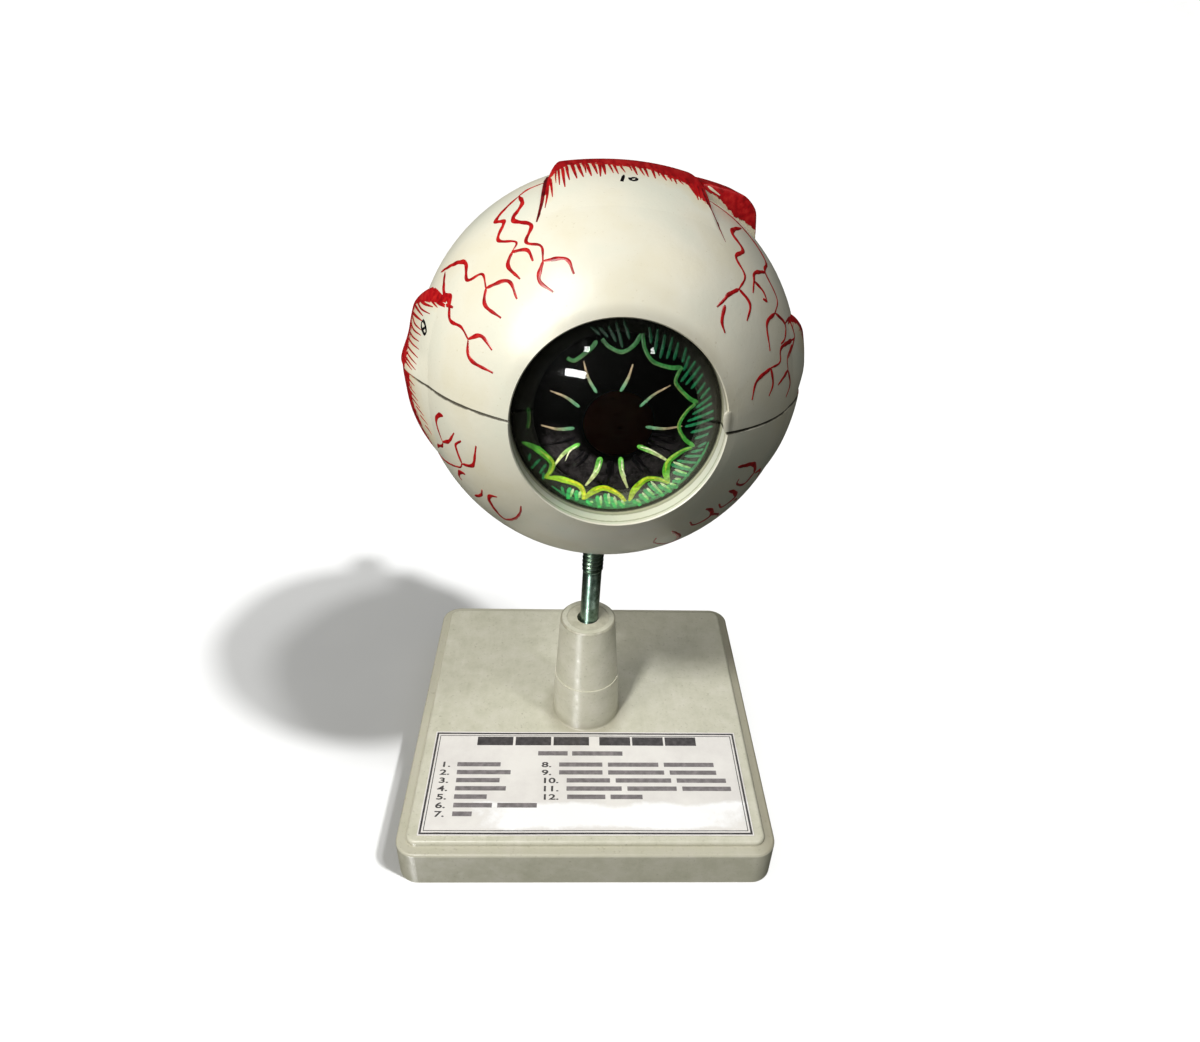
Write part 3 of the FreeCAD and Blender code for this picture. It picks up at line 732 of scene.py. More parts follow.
@dataclass(frozen=True)
class MottledPaint(Finish):
    """Matt hand-brushed paint or plain plastic in three near tones, with the brush's faint ridges."""

    title: str = "paint_brushed"
    dark: str = "7a2a1c"
    mid: str = "8d3423"
    light: str = "a04a33"
    patch_mm: float = 6
    rough: float = 0.5
    ridge_mm: float = 0.8
    ior: float = 1.5

    def shade(self, add: Adder) -> Socket:
        """Cloudy tones with a fine ridge."""
        place = add("TexCoord", out="Object")
        cloud = add("TexNoise", place, fineness(self.patch_mm), Detail=5)
        colour = add("ValToRGB", cloud, stops=((0.32, self.dark), (0.5, self.mid), (0.68, self.light)))
        ridge = add("TexNoise", place, fineness(self.ridge_mm), Detail=3)
        bump = add("Bump", Height=ridge, Strength=0.3, Distance=0.0001)
        gloss = add("MapRange", ridge, 0.3, 0.7, self.rough - 0.08, self.rough + 0.08)
        return add("BsdfPrincipled", Base_Color=colour, Roughness=gloss, Normal=bump, IOR=self.ior)


@dataclass(frozen=True)
class VeinedPaint(MottledPaint):
    """Brushed paint with a net of darker veins, as the vessel layer of an eye is coloured."""

    title: str = "vessel_layer_paint"
    vein: str = "3d0d0b"
    net_mm: float = 5

    def shade(self, add: Adder) -> Socket:
        """The brushed paint's shader, with veins along the borders of round cells."""
        shader = super().shade(add).node
        place = add("TexCoord", out="Object")
        bend = add("TexNoise", place, fineness(7), Detail=3, out="Color")
        bent = add("VectorMath.MULTIPLY_ADD", bend, (0.004, 0.004, 0.004), place)
        net = add("TexVoronoi.DISTANCE_TO_EDGE", bent, fineness(self.net_mm))
        vein = add("MapRange", net, 0.03, 0.12, 0.85, 0)
        plain = shader.inputs["Base Color"].links[0].from_socket
        colour = add("Mix.RGBA", vein, plain, linear(self.vein))
        shader.id_data.links.new(colour, shader.inputs["Base Color"])
        return shader.outputs[0]


@dataclass(frozen=True)
class CrimsonEnamel(Finish):
    """Gloss crimson enamel laid on with a fine brush: wet-looking, deeper where it pools, thin and
    brighter where the brush ran dry."""

    title: str = "crimson_enamel_brushed"
    deep: str = "960c12"
    body: str = "bc1019"
    thin: str = "cf2825"

    def shade(self, add: Adder) -> Socket:
        """Pooling in patches with fine bristle marks."""
        place = add("TexCoord", out="Object")
        pool = add("TexNoise", place, fineness(2.2), Detail=4)
        colour = add("ValToRGB", pool, stops=((0.34, self.deep), (0.5, self.body), (0.68, self.thin)))
        bristle = add("TexNoise", place, fineness(0.5), Detail=2)
        bump = add("Bump", Height=bristle, Strength=0.3, Distance=0.00008)
        return add("BsdfPrincipled", Base_Color=colour, Roughness=0.3, Normal=bump, IOR=1.5, Coat_Weight=0.4,
            Coat_Roughness=0.12)


@dataclass(frozen=True)
class MusclePaint(CreamEnamel):
    """The shell's cream enamel with crimson laid over the muscle's cut end. The mark "crimson" is the
    distance in millimetres past the line where the red begins, and the brush leaves that line ragged."""

    title: str = "muscle_enamel_two_coats"
    warm: str = "ead9b4"
    deep: str = "980b12"
    red: str = "be101a"
    lit: str = "d22d2a"

    def shade(self, add: Adder) -> Socket:
        """The enamel's shader, warmer near the red, and red past a ragged line."""
        shader = super().shade(add).node
        place = add("TexCoord", out="Object")
        mark = add("Attribute", attribute_name="crimson", out="Fac")
        ragged = add("TexNoise", place, fineness(1.5), Detail=4)
        wander = add("Math.MULTIPLY_ADD", ragged, 2.2, mark)
        red = add("MapRange", wander, 0.95, 1.2)
        wash = add("MapRange", wander, -2.5, 1, 0, 0.6)
        plain = shader.inputs["Base Color"].links[0].from_socket
        cream = add("Mix.RGBA", wash, plain, linear(self.warm))
        drawn = add("Mapping", place, Scale=(1, 0.14, 1))
        pool = add("TexNoise", drawn, fineness(1.8), Detail=5)
        crimson = add("ValToRGB", pool, stops=((0.32, self.deep), (0.5, self.red), (0.72, self.lit)))
        colour = add("Mix.RGBA", red, cream, crimson)
        shader.id_data.links.new(colour, shader.inputs["Base Color"])
        brush = add("TexNoise", drawn, fineness(0.9), Detail=3)
        relief = add("Math.MULTIPLY_ADD", brush, 0.8, 0.8)
        relief = add("Math.MULTIPLY", relief, red)
        enamel = shader.inputs["Normal"].links[0].from_socket
        bump = add("Bump", Height=relief, Strength=0.5, Distance=0.00015, Normal=enamel)
        shader.id_data.links.new(bump, shader.inputs["Normal"])
        return shader.outputs[0]


@dataclass(frozen=True)
class IrisLacquer(Finish):
    """Black lacquer on a domed plate with thin grey washes between the strokes of its lower part, so
    that it reads as deep black above and as smoked grey below."""

    title: str = "black_lacquer_with_grey_wash"
    black: str = "010101"
    wash: str = "3b3739"
    out: Triple = (0, -1, 0)
    up: Triple = (0, 0, 1)

    def shade(self, add: Adder) -> Socket:
        """The wash lies below the pupil between two radii, with bristle streaks in it."""
        place = add("TexCoord", out="Object")
        offset = add("VectorMath.SUBTRACT", place, tuple(GLOBE_CENTRE * MM))
        cross = add("VectorMath.CROSS_PRODUCT", offset, self.out)
        reach = add("VectorMath.LENGTH", cross)
        height = add("VectorMath.DOT_PRODUCT", offset, self.up)
        below = add("MapRange.SMOOTHSTEP", height, 0, -0.009)
        inner = add("MapRange", reach, 0.0105, 0.012)
        outer = add("MapRange", reach, 0.0215, 0.0195)
        streak = add("TexNoise", place, fineness(2.6), Detail=6, Roughness=0.7)
        patchy = add("MapRange", streak, 0.36, 0.56)
        band = add("Math.MULTIPLY", inner, outer)
        band = add("Math.MULTIPLY", band, below)
        band = add("Math.MULTIPLY", band, patchy)
        colour = add("Mix.RGBA", band, linear(self.black), linear(self.wash))
        bump = add("Bump", Height=streak, Strength=0.2, Distance=0.00005)
        return add("BsdfPrincipled", Base_Color=colour, Roughness=0.55, Specular_IOR_Level=0.05, Normal=bump,
            IOR=1.5)


@dataclass(frozen=True)
class TintedEnamel(Finish):
    """Translucent green and yellow enamels put on with a pointed brush. The mark "tint" is each stroke's
    colour; bristles leave lighter and darker streaks in it."""

    title: str = "iris_enamel_pointed_brush"

    def shade(self, add: Adder) -> Socket:
        """The stroke's own colour, varied by bristle streaks."""
        place = add("TexCoord", out="Object")
        tint = add("Attribute", attribute_name="tint", out="Color")
        bristle = add("TexNoise", place, fineness(0.8), Detail=4, Roughness=0.7)
        level = add("MapRange", bristle, 0.3, 0.7, 0.45, 1.3)
        colour = add("VectorMath.SCALE", tint, Scale=level)
        bump = add("Bump", Height=bristle, Strength=0.3, Distance=0.00005)
        return add("BsdfPrincipled", Base_Color=colour, Roughness=0.35, Specular_IOR_Level=0.15, Normal=bump,
            IOR=1.5)


@dataclass(frozen=True)
class ClearAcrylic(Finish):
    """Clear cast acrylic, polished: sharp small reflections and a faint green at its edge. Lamps reach what
    lies behind it."""

    title: str = "clear_acrylic_polished"
    tint: str = "fdfefd"
    rough: float = 0.015

    def shade(self, add: Adder) -> Socket:
        """Clear shader for sight and a transparent one for the lamps' rays, with faint polishing waves."""
        place = add("TexCoord", out="Object")
        wave = add("TexNoise", place, fineness(12), Detail=1)
        bump = add("Bump", Height=wave, Strength=0.04, Distance=0.00005)
        clear = add("BsdfPrincipled", Base_Color=linear(self.tint), Roughness=self.rough, IOR=1.49,
            Transmission_Weight=1, Normal=bump)
        let_by = add("BsdfTransparent", Color=linear(self.tint))
        path = add("LightPath", out="Is Shadow Ray")
        return add("MixShader", path, clear, let_by)


@dataclass(frozen=True)
class CardStock(Finish):
    """Printed card under a thin laminate: off-white with a pink cast, a faint fibre and a soft gloss, and a
    white patch below the words."""

    title: str = "card_laminated"
    sheet: str = "ece9e4"
    shaded: str = "e0dcd8"
    white_patch_at: Pair = (0.0105, -0.0540)
    white_patch_half: Pair = (0.0475, 0.0054)

    def shade(self, add: Adder) -> Socket:
        """Uneven white with fibre; the laminate has its own soft coat."""
        place = add("TexCoord", out="Object")
        cloud = add("TexNoise", place, fineness(18), Detail=6, Roughness=0.65)
        colour = add("ValToRGB", cloud, stops=((0.35, self.shaded), (0.62, self.sheet)))
        # a white patch below the words, with a ragged edge
        (x, y), (half_x, half_y) = self.white_patch_at, self.white_patch_half
        shares = add("VectorMath.MULTIPLY_ADD", place, (1 / half_x, 1 / half_y, 0),
            (-x / half_x, -y / half_y, 0))
        shares = add("VectorMath.ABSOLUTE", shares)
        shares = add("SeparateXYZ", shares).node.outputs
        furthest = add("Math.MAXIMUM", shares["X"], shares["Y"])
        ragged = add("Math.MULTIPLY_ADD", cloud, 1.7, furthest)
        white_patch = add("MapRange.SMOOTHSTEP", ragged, 1.6, 2, 1, 0)
        colour = add("Mix.RGBA", white_patch, colour, linear("ffffff"))
        fibre = add("TexNoise", place, fineness(0.7), Detail=2)
        bump = add("Bump", Height=fibre, Strength=0.2, Distance=0.00005)
        return add("BsdfPrincipled", Base_Color=colour, Roughness=0.55, Normal=bump, IOR=1.5, Coat_Weight=0.3,
            Coat_Roughness=0.3)


@dataclass(frozen=True)
class SweptFloor(Finish):
    """Matt white paper sweep, so even that only shadows show on it."""

    title: str = "floor_paper_white"

    def shade(self, add: Adder) -> Socket:
        """Near-even white with a trace of paper grain."""
        place = add("TexCoord", out="Object")
        grain = add("TexNoise", place, fineness(60), Detail=2)
        colour = add("ValToRGB", grain, stops=((0.3, "f1f1f1"), (0.7, "f5f5f5")))
        return add("BsdfPrincipled", Base_Color=colour, Roughness=0.9, IOR=1.4, Specular_IOR_Level=0.1)


PRINT_INK = MottledPaint("printing_ink_dark_grey", "3b3939", "474445", "565253", 2, 0.5)
PRINT_GREY = MottledPaint("printing_ink_mid_grey", "6f6a6b", "7d7879", "8d8788", 2, 0.5)
MARKER_INK = MottledPaint("marker_ink_black", "070608", "0d0b0f", "141118", 0.8, 0.35)
CHOROID_PAINT = VeinedPaint("choroid_paint_dark_red", "5a1712", "6b2018", "7c2c20", 8, 0.5)
RETINA_PAINT = MottledPaint("retina_paint_orange_pink", "c8744f", "d68763", "de9975", 9, 0.45)
RING_PLASTIC = MottledPaint("ring_plastic_brown", "4b2c1f", "58362a", "664436", 5, 0.45)
SPOT_PAINT = MottledPaint("spot_paint_yellow", "d4a92c", "e3bd3d", "ecca55", 2, 0.4)
NERVE_SHEATH = MottledPaint("nerve_sheath_enamel_cream", "dcc88f", "e8d8a8", "f0e5c0", 5, 0.38)
NERVE_FIBRE = MottledPaint("nerve_fibre_paint_yellow", "c9932f", "d9a843", "e6bd5e", 1.6, 0.5, 0.6)
BUSH_NYLON = MottledPaint("nylon_turned", "b3b09b", "c2bfab", "cdcab8", 3, 0.5)
COVER_PLASTIC = MouldedPlastic("beige_plastic_plate", "b5af98", "a69f86", "c2bca6", "7a735d", 0.5)
INSERT_BRASS = PlatedSteel("brass_turned", "d9b768", "b08a3c", 0.22)
SCREW_STEEL = PlatedSteel("zinc_plated_steel_fasteners", "b8bcbc", "878c8c", 0.28)
ROD_STEEL = PlatedSteel()
BASE_PLASTIC = MouldedPlastic()
CRIMSON = CrimsonEnamel()
POOLED_CRIMSON = CrimsonEnamel("crimson_enamel_pooled", "4d090d", "6f1018", "8f1b21")
CREAM_STREAK = MottledPaint("cream_enamel_streak", "e4d9c2", "efe6d2", "f7f1e3", 1.2, 0.35)
TINTED = TintedEnamel()


# ---- dressing
def add_piece(name: str, skin: Surface | list[Surface], finish: Finish, body: Body,
        replaces: tuple[str, ...] = ()) -> Object:
    """Make a piece, finish it and let it ride on its body.

    Args:
        name: the piece's name.
        skin: its skin or skins, in millimetres.
        finish: what its surface is.
        body: the body it moves with.
        replaces: frame nodes that it is shown instead of.

    Returns:
        The object.
    """
    made = make_object(name, Surface.joined(skin) if isinstance(skin, list) else skin)
    made.data.materials.append(finish.material())
    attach(made, body.value)
    if replaces:
        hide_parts(*replaces)
    LOG.info("%s: %d faces on %s", name, len(made.data.polygons), body.value)
    return made


def dress_nodes(nodes: dict[str, Object], finishes: dict[str, Finish]) -> None:
    """Give frame nodes their finishes.

    Args:
        nodes: the frame's objects by name.
        finishes: finish for each node's name.
    """
    for name, finish in finishes.items():
        slots = nodes[name].material_slots
        if not slots:
            nodes[name].data.materials.append(finish.material())
        for slot in slots:
            slot.material = finish.material()
        LOG.info("%s: frame node in %s", name, finish.title)


@dataclass
class Stand:
    """The hollow square stand, its cover and screws, and the post with its bush."""

    mould: Finish = BASE_PLASTIC

    def dress(self, nodes: dict[str, Object]) -> None:
        """Finish the stand's nodes."""
        dress_nodes(nodes, {"base_shell": self.mould, "post_sleeve": self.mould, "base_cover": COVER_PLASTIC,
            "cover_screws": SCREW_STEEL, "post_bush": BUSH_NYLON})


@dataclass
class KeyCard:
    """Printed key lying on the panel: a slightly wavy card with a double frame, a heavy bar where a title
    stands, lighter bars for the words and the plain numbers 1 to 12."""

    left: float = -61.25
    right: float = 61.25
    front: float = -62.6
    back: float = -13.6
    lift: float = 0.16
    ink: float = 0.03
    row_pitch: float = 3.84
    first_row: float = -30.3
    number_height: float = 2.5
    number_wide: float = 1.6
    bar_height: float = 2.05
    left_numbers: float = -57.2
    right_numbers: float = -17.6
    left_words: Rows = ((-50.7, -33.7), (-50.4, -29.5), (-50.2, -33.5), (-50.1, -30.8), (-50, -37.7),
        (-49.8, -35.4, -33.4, -18.6), (-49.7, -42.5))
    right_words: Rows = ((-10.7, 6.4, 8.6, 28.6, 30.8, 50.6), (-10.6, 6.4, 8.6, 30.6, 32.8, 51.1),
        (-7.6, 9.2, 11.4, 33, 35.2, 54.4), (-7.6, 13.6, 15.8, 34.8, 37, 55.8), (-7.3, 7.2, 9.2, 21.4))

    def height(self, x: Array, y: Array) -> Array:
        """Card's face over the panel: two long shallow waves, flat in the middle and lifting at the rim."""
        rim = np.maximum(np.abs(x) / 61, np.abs(y + 38.1) / 24.5) ** 4
        wave = 0.5 + 0.3 * np.sin(x / 17 + 0.6) + 0.2 * np.sin(x / 9 - y / 8)
        return PANEL_Z + CARD_THICK + self.lift * (0.3 + 0.7 * rim) * wave

    def patch(self, left: float, right: float, front: float, back: float) -> Surface:
        """Thin rectangle of ink that follows the card's face and is half sunk into it."""
        columns, rows = (max(2, int(size / 2) + 2) for size in (right - left, back - front))
        x, y = np.meshgrid(np.linspace(left, right, columns), np.linspace(front, back, rows))
        face = self.height(x, y)
        return slab(stacked(x, y, face + self.ink), stacked(x, y, face - 0.05))

    def bars(self) -> list[Surface]:
        """The title's heavy bars."""
        return [self.patch(x, x + wide, -20.6, -16.2)
            for wide, starts in ((14.4, (-44, -28.6, -13.2)), (12.6, (5.4, 18.8, 32.2))) for x in starts]

    def words(self) -> list[Surface]:
        """Bars for the second line and the twelve entries."""
        made = [self.patch(-19.2, -7.4, -25.8, -23.6), self.patch(-5.6, 14.6, -25.8, -23.6)]
        for words in (self.left_words, self.right_words):
            for row, ends in enumerate(words):
                y = self.first_row - row * self.row_pitch
                for start, end in zip(ends[::2], ends[1::2]):
                    made.append(self.patch(start, end, y - self.bar_height / 2, y + self.bar_height / 2))
        return made

    def frame_lines(self) -> list[Surface]:
        """A heavy line round the card's edge and a fine one inside it."""
        made = []
        for inset, wide in ((0.5, 0.75), (1.9, 0.3)):
            left, right = self.left + inset, self.right - inset
            front, back = self.front + inset, self.back - inset
            made += [self.patch(left, right, front, front + wide), self.patch(left, right, back - wide, back),
                self.patch(left, left + wide, front + wide, back - wide),
                self.patch(right - wide, right, front + wide, back - wide)]
        return made

    def number(self, value: int, x: float, y: float) -> Surface:
        """One printed number with its full stop, laid on the card's face.

        Args:
            value: the number.
            x: its left edge.
            y: the middle of its height.

        Returns:
            The number's skin.
        """
        curve = bpy.data.curves.new("number", "FONT")
        curve.body = f"{value}."
        curve.size = self.number_height * 1.38
        curve.extrude = 0.04
        curve.resolution_u = 4
        curve.offset = 0.08
        holder = bpy.data.objects.new("number", curve)
        bpy.context.scene.collection.objects.link(holder)
        mesh = bpy.data.meshes.new_from_object(holder)
        mesh.calc_loop_triangles()
        flat = np.array([vertex.co for vertex in mesh.vertices])
        faces = np.array([triangle.vertices for triangle in mesh.loop_triangles])
        bpy.data.objects.remove(holder)
        bpy.data.meshes.remove(mesh)
        points = flat * [self.number_wide, 1, 1] + [x, y - self.number_height / 2, 0]
        points[:, 2] = self.height(points[:, 0], points[:, 1]) + flat[:, 2] + self.ink - 0.04
        return Surface(points, np.zeros((0, 4), int), faces)

    def numbers(self) -> list[Surface]:
        """The numbers 1 to 7 in the left column and 8 to 12 in the right."""
        made = []
        for value in range(1, 13):
            column, row = divmod(value - 1, 7)
            made.append(self.number(value, (self.left_numbers, self.right_numbers)[column] + 0.12 * row,
                self.first_row - row * self.row_pitch))
        return made

    def build(self) -> None:
        """Make the card and what is printed on it."""
        x, y = np.meshgrid(np.linspace(self.left, self.right, 96), np.linspace(self.front, self.back, 40))
        face = self.height(x, y)
        card = slab(stacked(x, y, face), stacked(x, y, face - CARD_THICK + 0.05))
        add_piece("card_sheet", card, CardStock(), Body.BASE, ("key_card",))
        dark = self.bars() + self.frame_lines() + self.numbers()
        add_piece("card_title_and_numbers", dark, PRINT_INK, Body.BASE)
        add_piece("card_words", self.words(), PRINT_GREY, Body.BASE)


@dataclass
class SupportRod:
    """Steel rod with a cut thread at both ends and a plain shank, from the web in the stand up into the
    globe's insert."""

    crest_r: float = 4
    root_r: float = 3.3
    shank_r: float = 3.6
    pitch: float = 1.85
    top: float = 51  # reaches are measured from the globe's centre
    upper_end: float = 82.45  # of the upper thread
    lower_start: float = 139.4  # of the lower thread
    end: float = 169
    lean: Triple = (-0.0308757, 0.0142503, -0.9994216)

    def radius(self, reach: Array, turn: Array) -> Array:
        """A rounded V thread wound at its pitch, running out into the shank.

        Radius = root + (crest - root) * triangle(reach / pitch - turn / full turn), blended to the shank's
        over one pitch.

        Args:
            reach: distances along the rod from the globe's centre.
            turn: angles round it.

        Returns:
            The radii.
        """
        phase = (reach / self.pitch - turn / (2 * math.pi)) % 1
        ridge = np.clip(1.16 - 2.3 * np.abs(phase - 0.5), 0, 1)
        cut = self.root_r + (self.crest_r - self.root_r) * ridge
        upper = 1 - smoothstep(self.upper_end - self.pitch, self.upper_end, reach)
        lower = smoothstep(self.lower_start, self.lower_start + self.pitch, reach)
        threaded = np.maximum(upper, lower)
        point = np.minimum(1, 0.8 + np.minimum(reach - self.top, self.end - reach) / 5)
        return (self.shank_r * (1 - threaded) + cut * threaded) * point

    def build(self) -> None:
        """Make the rod as rings along its axis."""
        turn = full_turn(40)
        fine, gap = self.pitch / 10, 2 * self.pitch
        reach = np.concatenate([np.arange(self.top, self.upper_end + self.pitch, fine),
            np.linspace(self.upper_end + gap, self.lower_start - gap, 12),
            np.arange(self.lower_start - self.pitch, self.end, fine), [self.end]])
        axis = unit(np.array(self.lean))
        radius = self.radius(reach[:, None], turn[None])
        rings = GLOBE_CENTRE + reach[:, None, None] * axis + radius[..., None] * spokes(axis, (0, 1, 0), turn)
        add_piece("support_rod_threaded", capped_tube(rings), ROD_STEEL, Body.LOWER,
            ("support_rod",))

    def dress(self, nodes: dict[str, Object]) -> None:
        """Finish the washers, the nuts and the insert."""
        dress_nodes(nodes,
            {"rod_washers": SCREW_STEEL, "rod_nuts": SCREW_STEEL, "thread_insert": INSERT_BRASS})


# ---- painted vessels
UPPER_VESSELS: Vessels = {
    "brow_left": ((519, 196, 496, 220, 504, 222, 498, 240, 516, 242, 512, 252),
        (519, 196, 527, 190, 537, 185.5, 544, 183), (512, 252, 527, 250, 533, 261),
        (512, 252, 508, 266, 520, 279)),
    "brow_right": ((519, 196, 522, 204, 513, 220, 531, 225, 526, 242, 541, 246, 543, 261),
        (543, 261, 566, 259, 574, 274), (543, 261, 539, 280, 553, 292)),
    "cheek_upper": ((441, 272, 464, 262, 467, 280, 482, 274, 486, 288), (486, 288, 508, 281, 517, 299),
        (486, 288, 485, 305, 501, 318)),
    "cheek_frame": ((441, 297, 445, 295.6, 450.5, 296, 450.5, 302, 448.8, 310), (446, 304.5, 453, 307.5)),
    "cheek_lower": ((445, 272, 444, 294, 449, 302, 450, 320, 461, 327, 468, 339),
        (468, 339, 481, 336, 492, 350), (468, 339, 470, 359, 493, 373)),
    "temple_outer": ((705, 198, 739, 224, 765, 260, 765, 272, 777, 299, 775, 313),
        (765, 272, 755, 273, 754, 281, 753, 293), (754, 281, 763, 291, 767, 301), (767.5, 301.5, 763, 299),
        (775, 313, 767, 324, 770, 351), (775, 313, 785, 324, 785, 338, 781, 344)),
    "temple_inner": ((741, 228, 732, 232, 743, 250, 736, 257, 745, 276, 739, 289),
        (739, 289, 728, 295, 725, 299, 717, 307), (725, 305, 722, 321, 725, 333),
        (739, 289, 750, 304, 747, 321)),
    "temple_low": ((788, 321, 794, 336, 782, 347, 780, 362, 771, 368), (771, 368, 757, 381, 752, 400),
        (771, 368, 773, 384, 769, 396), (794, 336, 788, 356, 788, 370), (788, 370, 778, 385),
        (788, 370, 790, 384, 786, 397))}
LOWER_VESSELS: Vessels = {
    "jaw_left": ((443, 416, 439, 415, 436, 421, 441, 438, 443, 442), (443, 442, 449, 441, 454, 433),
        (443, 442, 442, 446, 438, 446, 440, 455, 458, 467, 462, 464),
        (462, 464, 456, 448, 456, 444, 461, 441), (462, 464, 471, 466, 474, 462, 476, 446)),
    "chin_left": ((465, 474, 460, 472, 459, 476, 462, 480), (475, 496, 481, 495, 482, 490)),
    "chin_left_low": ((497, 497, 490, 496, 490, 502, 503, 518, 514, 519, 520, 513, 521, 506),),
    "jaw_right": ((738, 467, 753, 464, 755, 470, 753, 474, 744, 484, 737, 484, 739, 479),
        (755, 473, 760, 470, 757, 477)),
    "chin_right": ((729, 491, 734, 492, 735, 497, 722, 507, 719, 504), (734, 500, 737, 499)),
    "chin_right_low": ((706, 509, 711, 510, 711, 515, 703, 521, 693, 525, 690, 522),
        (711, 514, 718, 514, 717, 516)),
    "chin_middle": ((672, 531, 679, 536, 672, 542, 655, 543, 656, 538),)}


@dataclass
class PaintedVessels:
    """Branching vessels painted on the white: the front ones along drawn routes, those round the nerve
    wandering outwards from it."""

    eye: EyeAxes
    viewpoint: Viewpoint
    stem_width: float = 1.55
    branch_width: float = 1.25
    tip_width: float = 0.5
    paint: float = 0.22
    back_starts: Rows = (  # degrees: turn and rise from the back pole, heading
        (-33, 6, 155), (-20, 17, 110), (4, 14, 60), (12, 2.5, 12), (10, -15, -25), (-8, -30, -80),
        (-30, -26, -130), (-38, -6, 190))

    def stroke(self, points: Array, stem: bool) -> Surface:
        """One brush line on the globe.

        Args:
            points: n by 3 points on the globe.
            stem: whether it is a group's thicker stem.

        Returns:
            The line's skin.
        """
        width = self.stem_width if stem else self.branch_width
        route = smooth_route(points, 0.55)
        normal = unit(route - GLOBE_CENTRE)
        route = GLOBE_CENTRE + normal * GLOBE_R
        widths = stroke_widths(len(route), width * 0.75, width, self.tip_width)
        wobble = 1 + 0.12 * np.sin(np.arange(len(route)) * 0.9 + points[0].sum())
        return brush_line(route, normal, widths * wobble, self.paint)

    def front(self, vessels: Vessels) -> list[Surface]:
        """Brush lines for one half's drawn routes; the first of each group is its thicker stem."""
        made = []
        for routes in vessels.values():
            for order, pixels in enumerate(routes):
                points = self.viewpoint.onto_ball(pairs(pixels), GLOBE_CENTRE, GLOBE_R)
                made.append(self.stroke(points, order == 0))
        return made

    def walk(self, start: Array, steps: Array, headings: Array) -> Array:
        """Places reached from a start by steps along headings, the start among them."""
        moves = steps[:, None] * stacked(np.cos(headings), np.sin(headings))
        return np.vstack([start, start + np.cumsum(moves, axis=0)])

    def on_globe(self, flat: Array) -> Array:
        """Points of the globe for places given as millimetres of turn and rise from the back pole."""
        turn, rise = flat.T / GLOBE_R
        return self.eye.world(direction(turn, rise) * GLOBE_R)

    def behind(self) -> dict[bool, list[Surface]]:
        """Vessels round the nerve: each zigzags along its heading and forks twice.

        Returns:
            Brush lines of the upper half under True and of the lower half under False.
        """
        made: dict[bool, list[Surface]] = {True: [], False: []}
        random = np.random.default_rng(5)
        for turn, rise, heading in self.back_starts:
            start = np.radians([turn, rise]) * GLOBE_R
            swing = np.radians(heading + np.resize([32, -32], 6) + random.uniform(-12, 12, 6))
            stem = self.walk(start, random.uniform(3.6, 5.6, 6), swing)
            lines = [stem]
            for origin, spread in ((stem[-1], 38), (stem[-1], -42), (stem[3], 70)):
                bend = np.radians(heading + spread + np.array([0, -0.6 * spread]))
                lines.append(self.walk(origin, random.uniform(4, 6.5, 2), bend))
            for order, line in enumerate(lines):
                points = self.on_globe(line)
                upper = bool(line[0, 1] > 0)
                height = self.eye.local(points)[:, 2] * (1 if upper else -1)
                kept = points[np.cumprod(height > 1).astype(bool)]
                if len(kept) > 1:
                    made[upper].append(self.stroke(kept, order == 0))
        return made

    def build(self) -> None:
        """Paint both halves."""
        behind = self.behind()
        upper = self.front(UPPER_VESSELS) + behind[True]
        lower = self.front(LOWER_VESSELS) + behind[False]
        add_piece("vessels_upper_half", upper, CRIMSON, Body.UPPER)
        add_piece("vessels_lower_half", lower, CRIMSON, Body.LOWER)


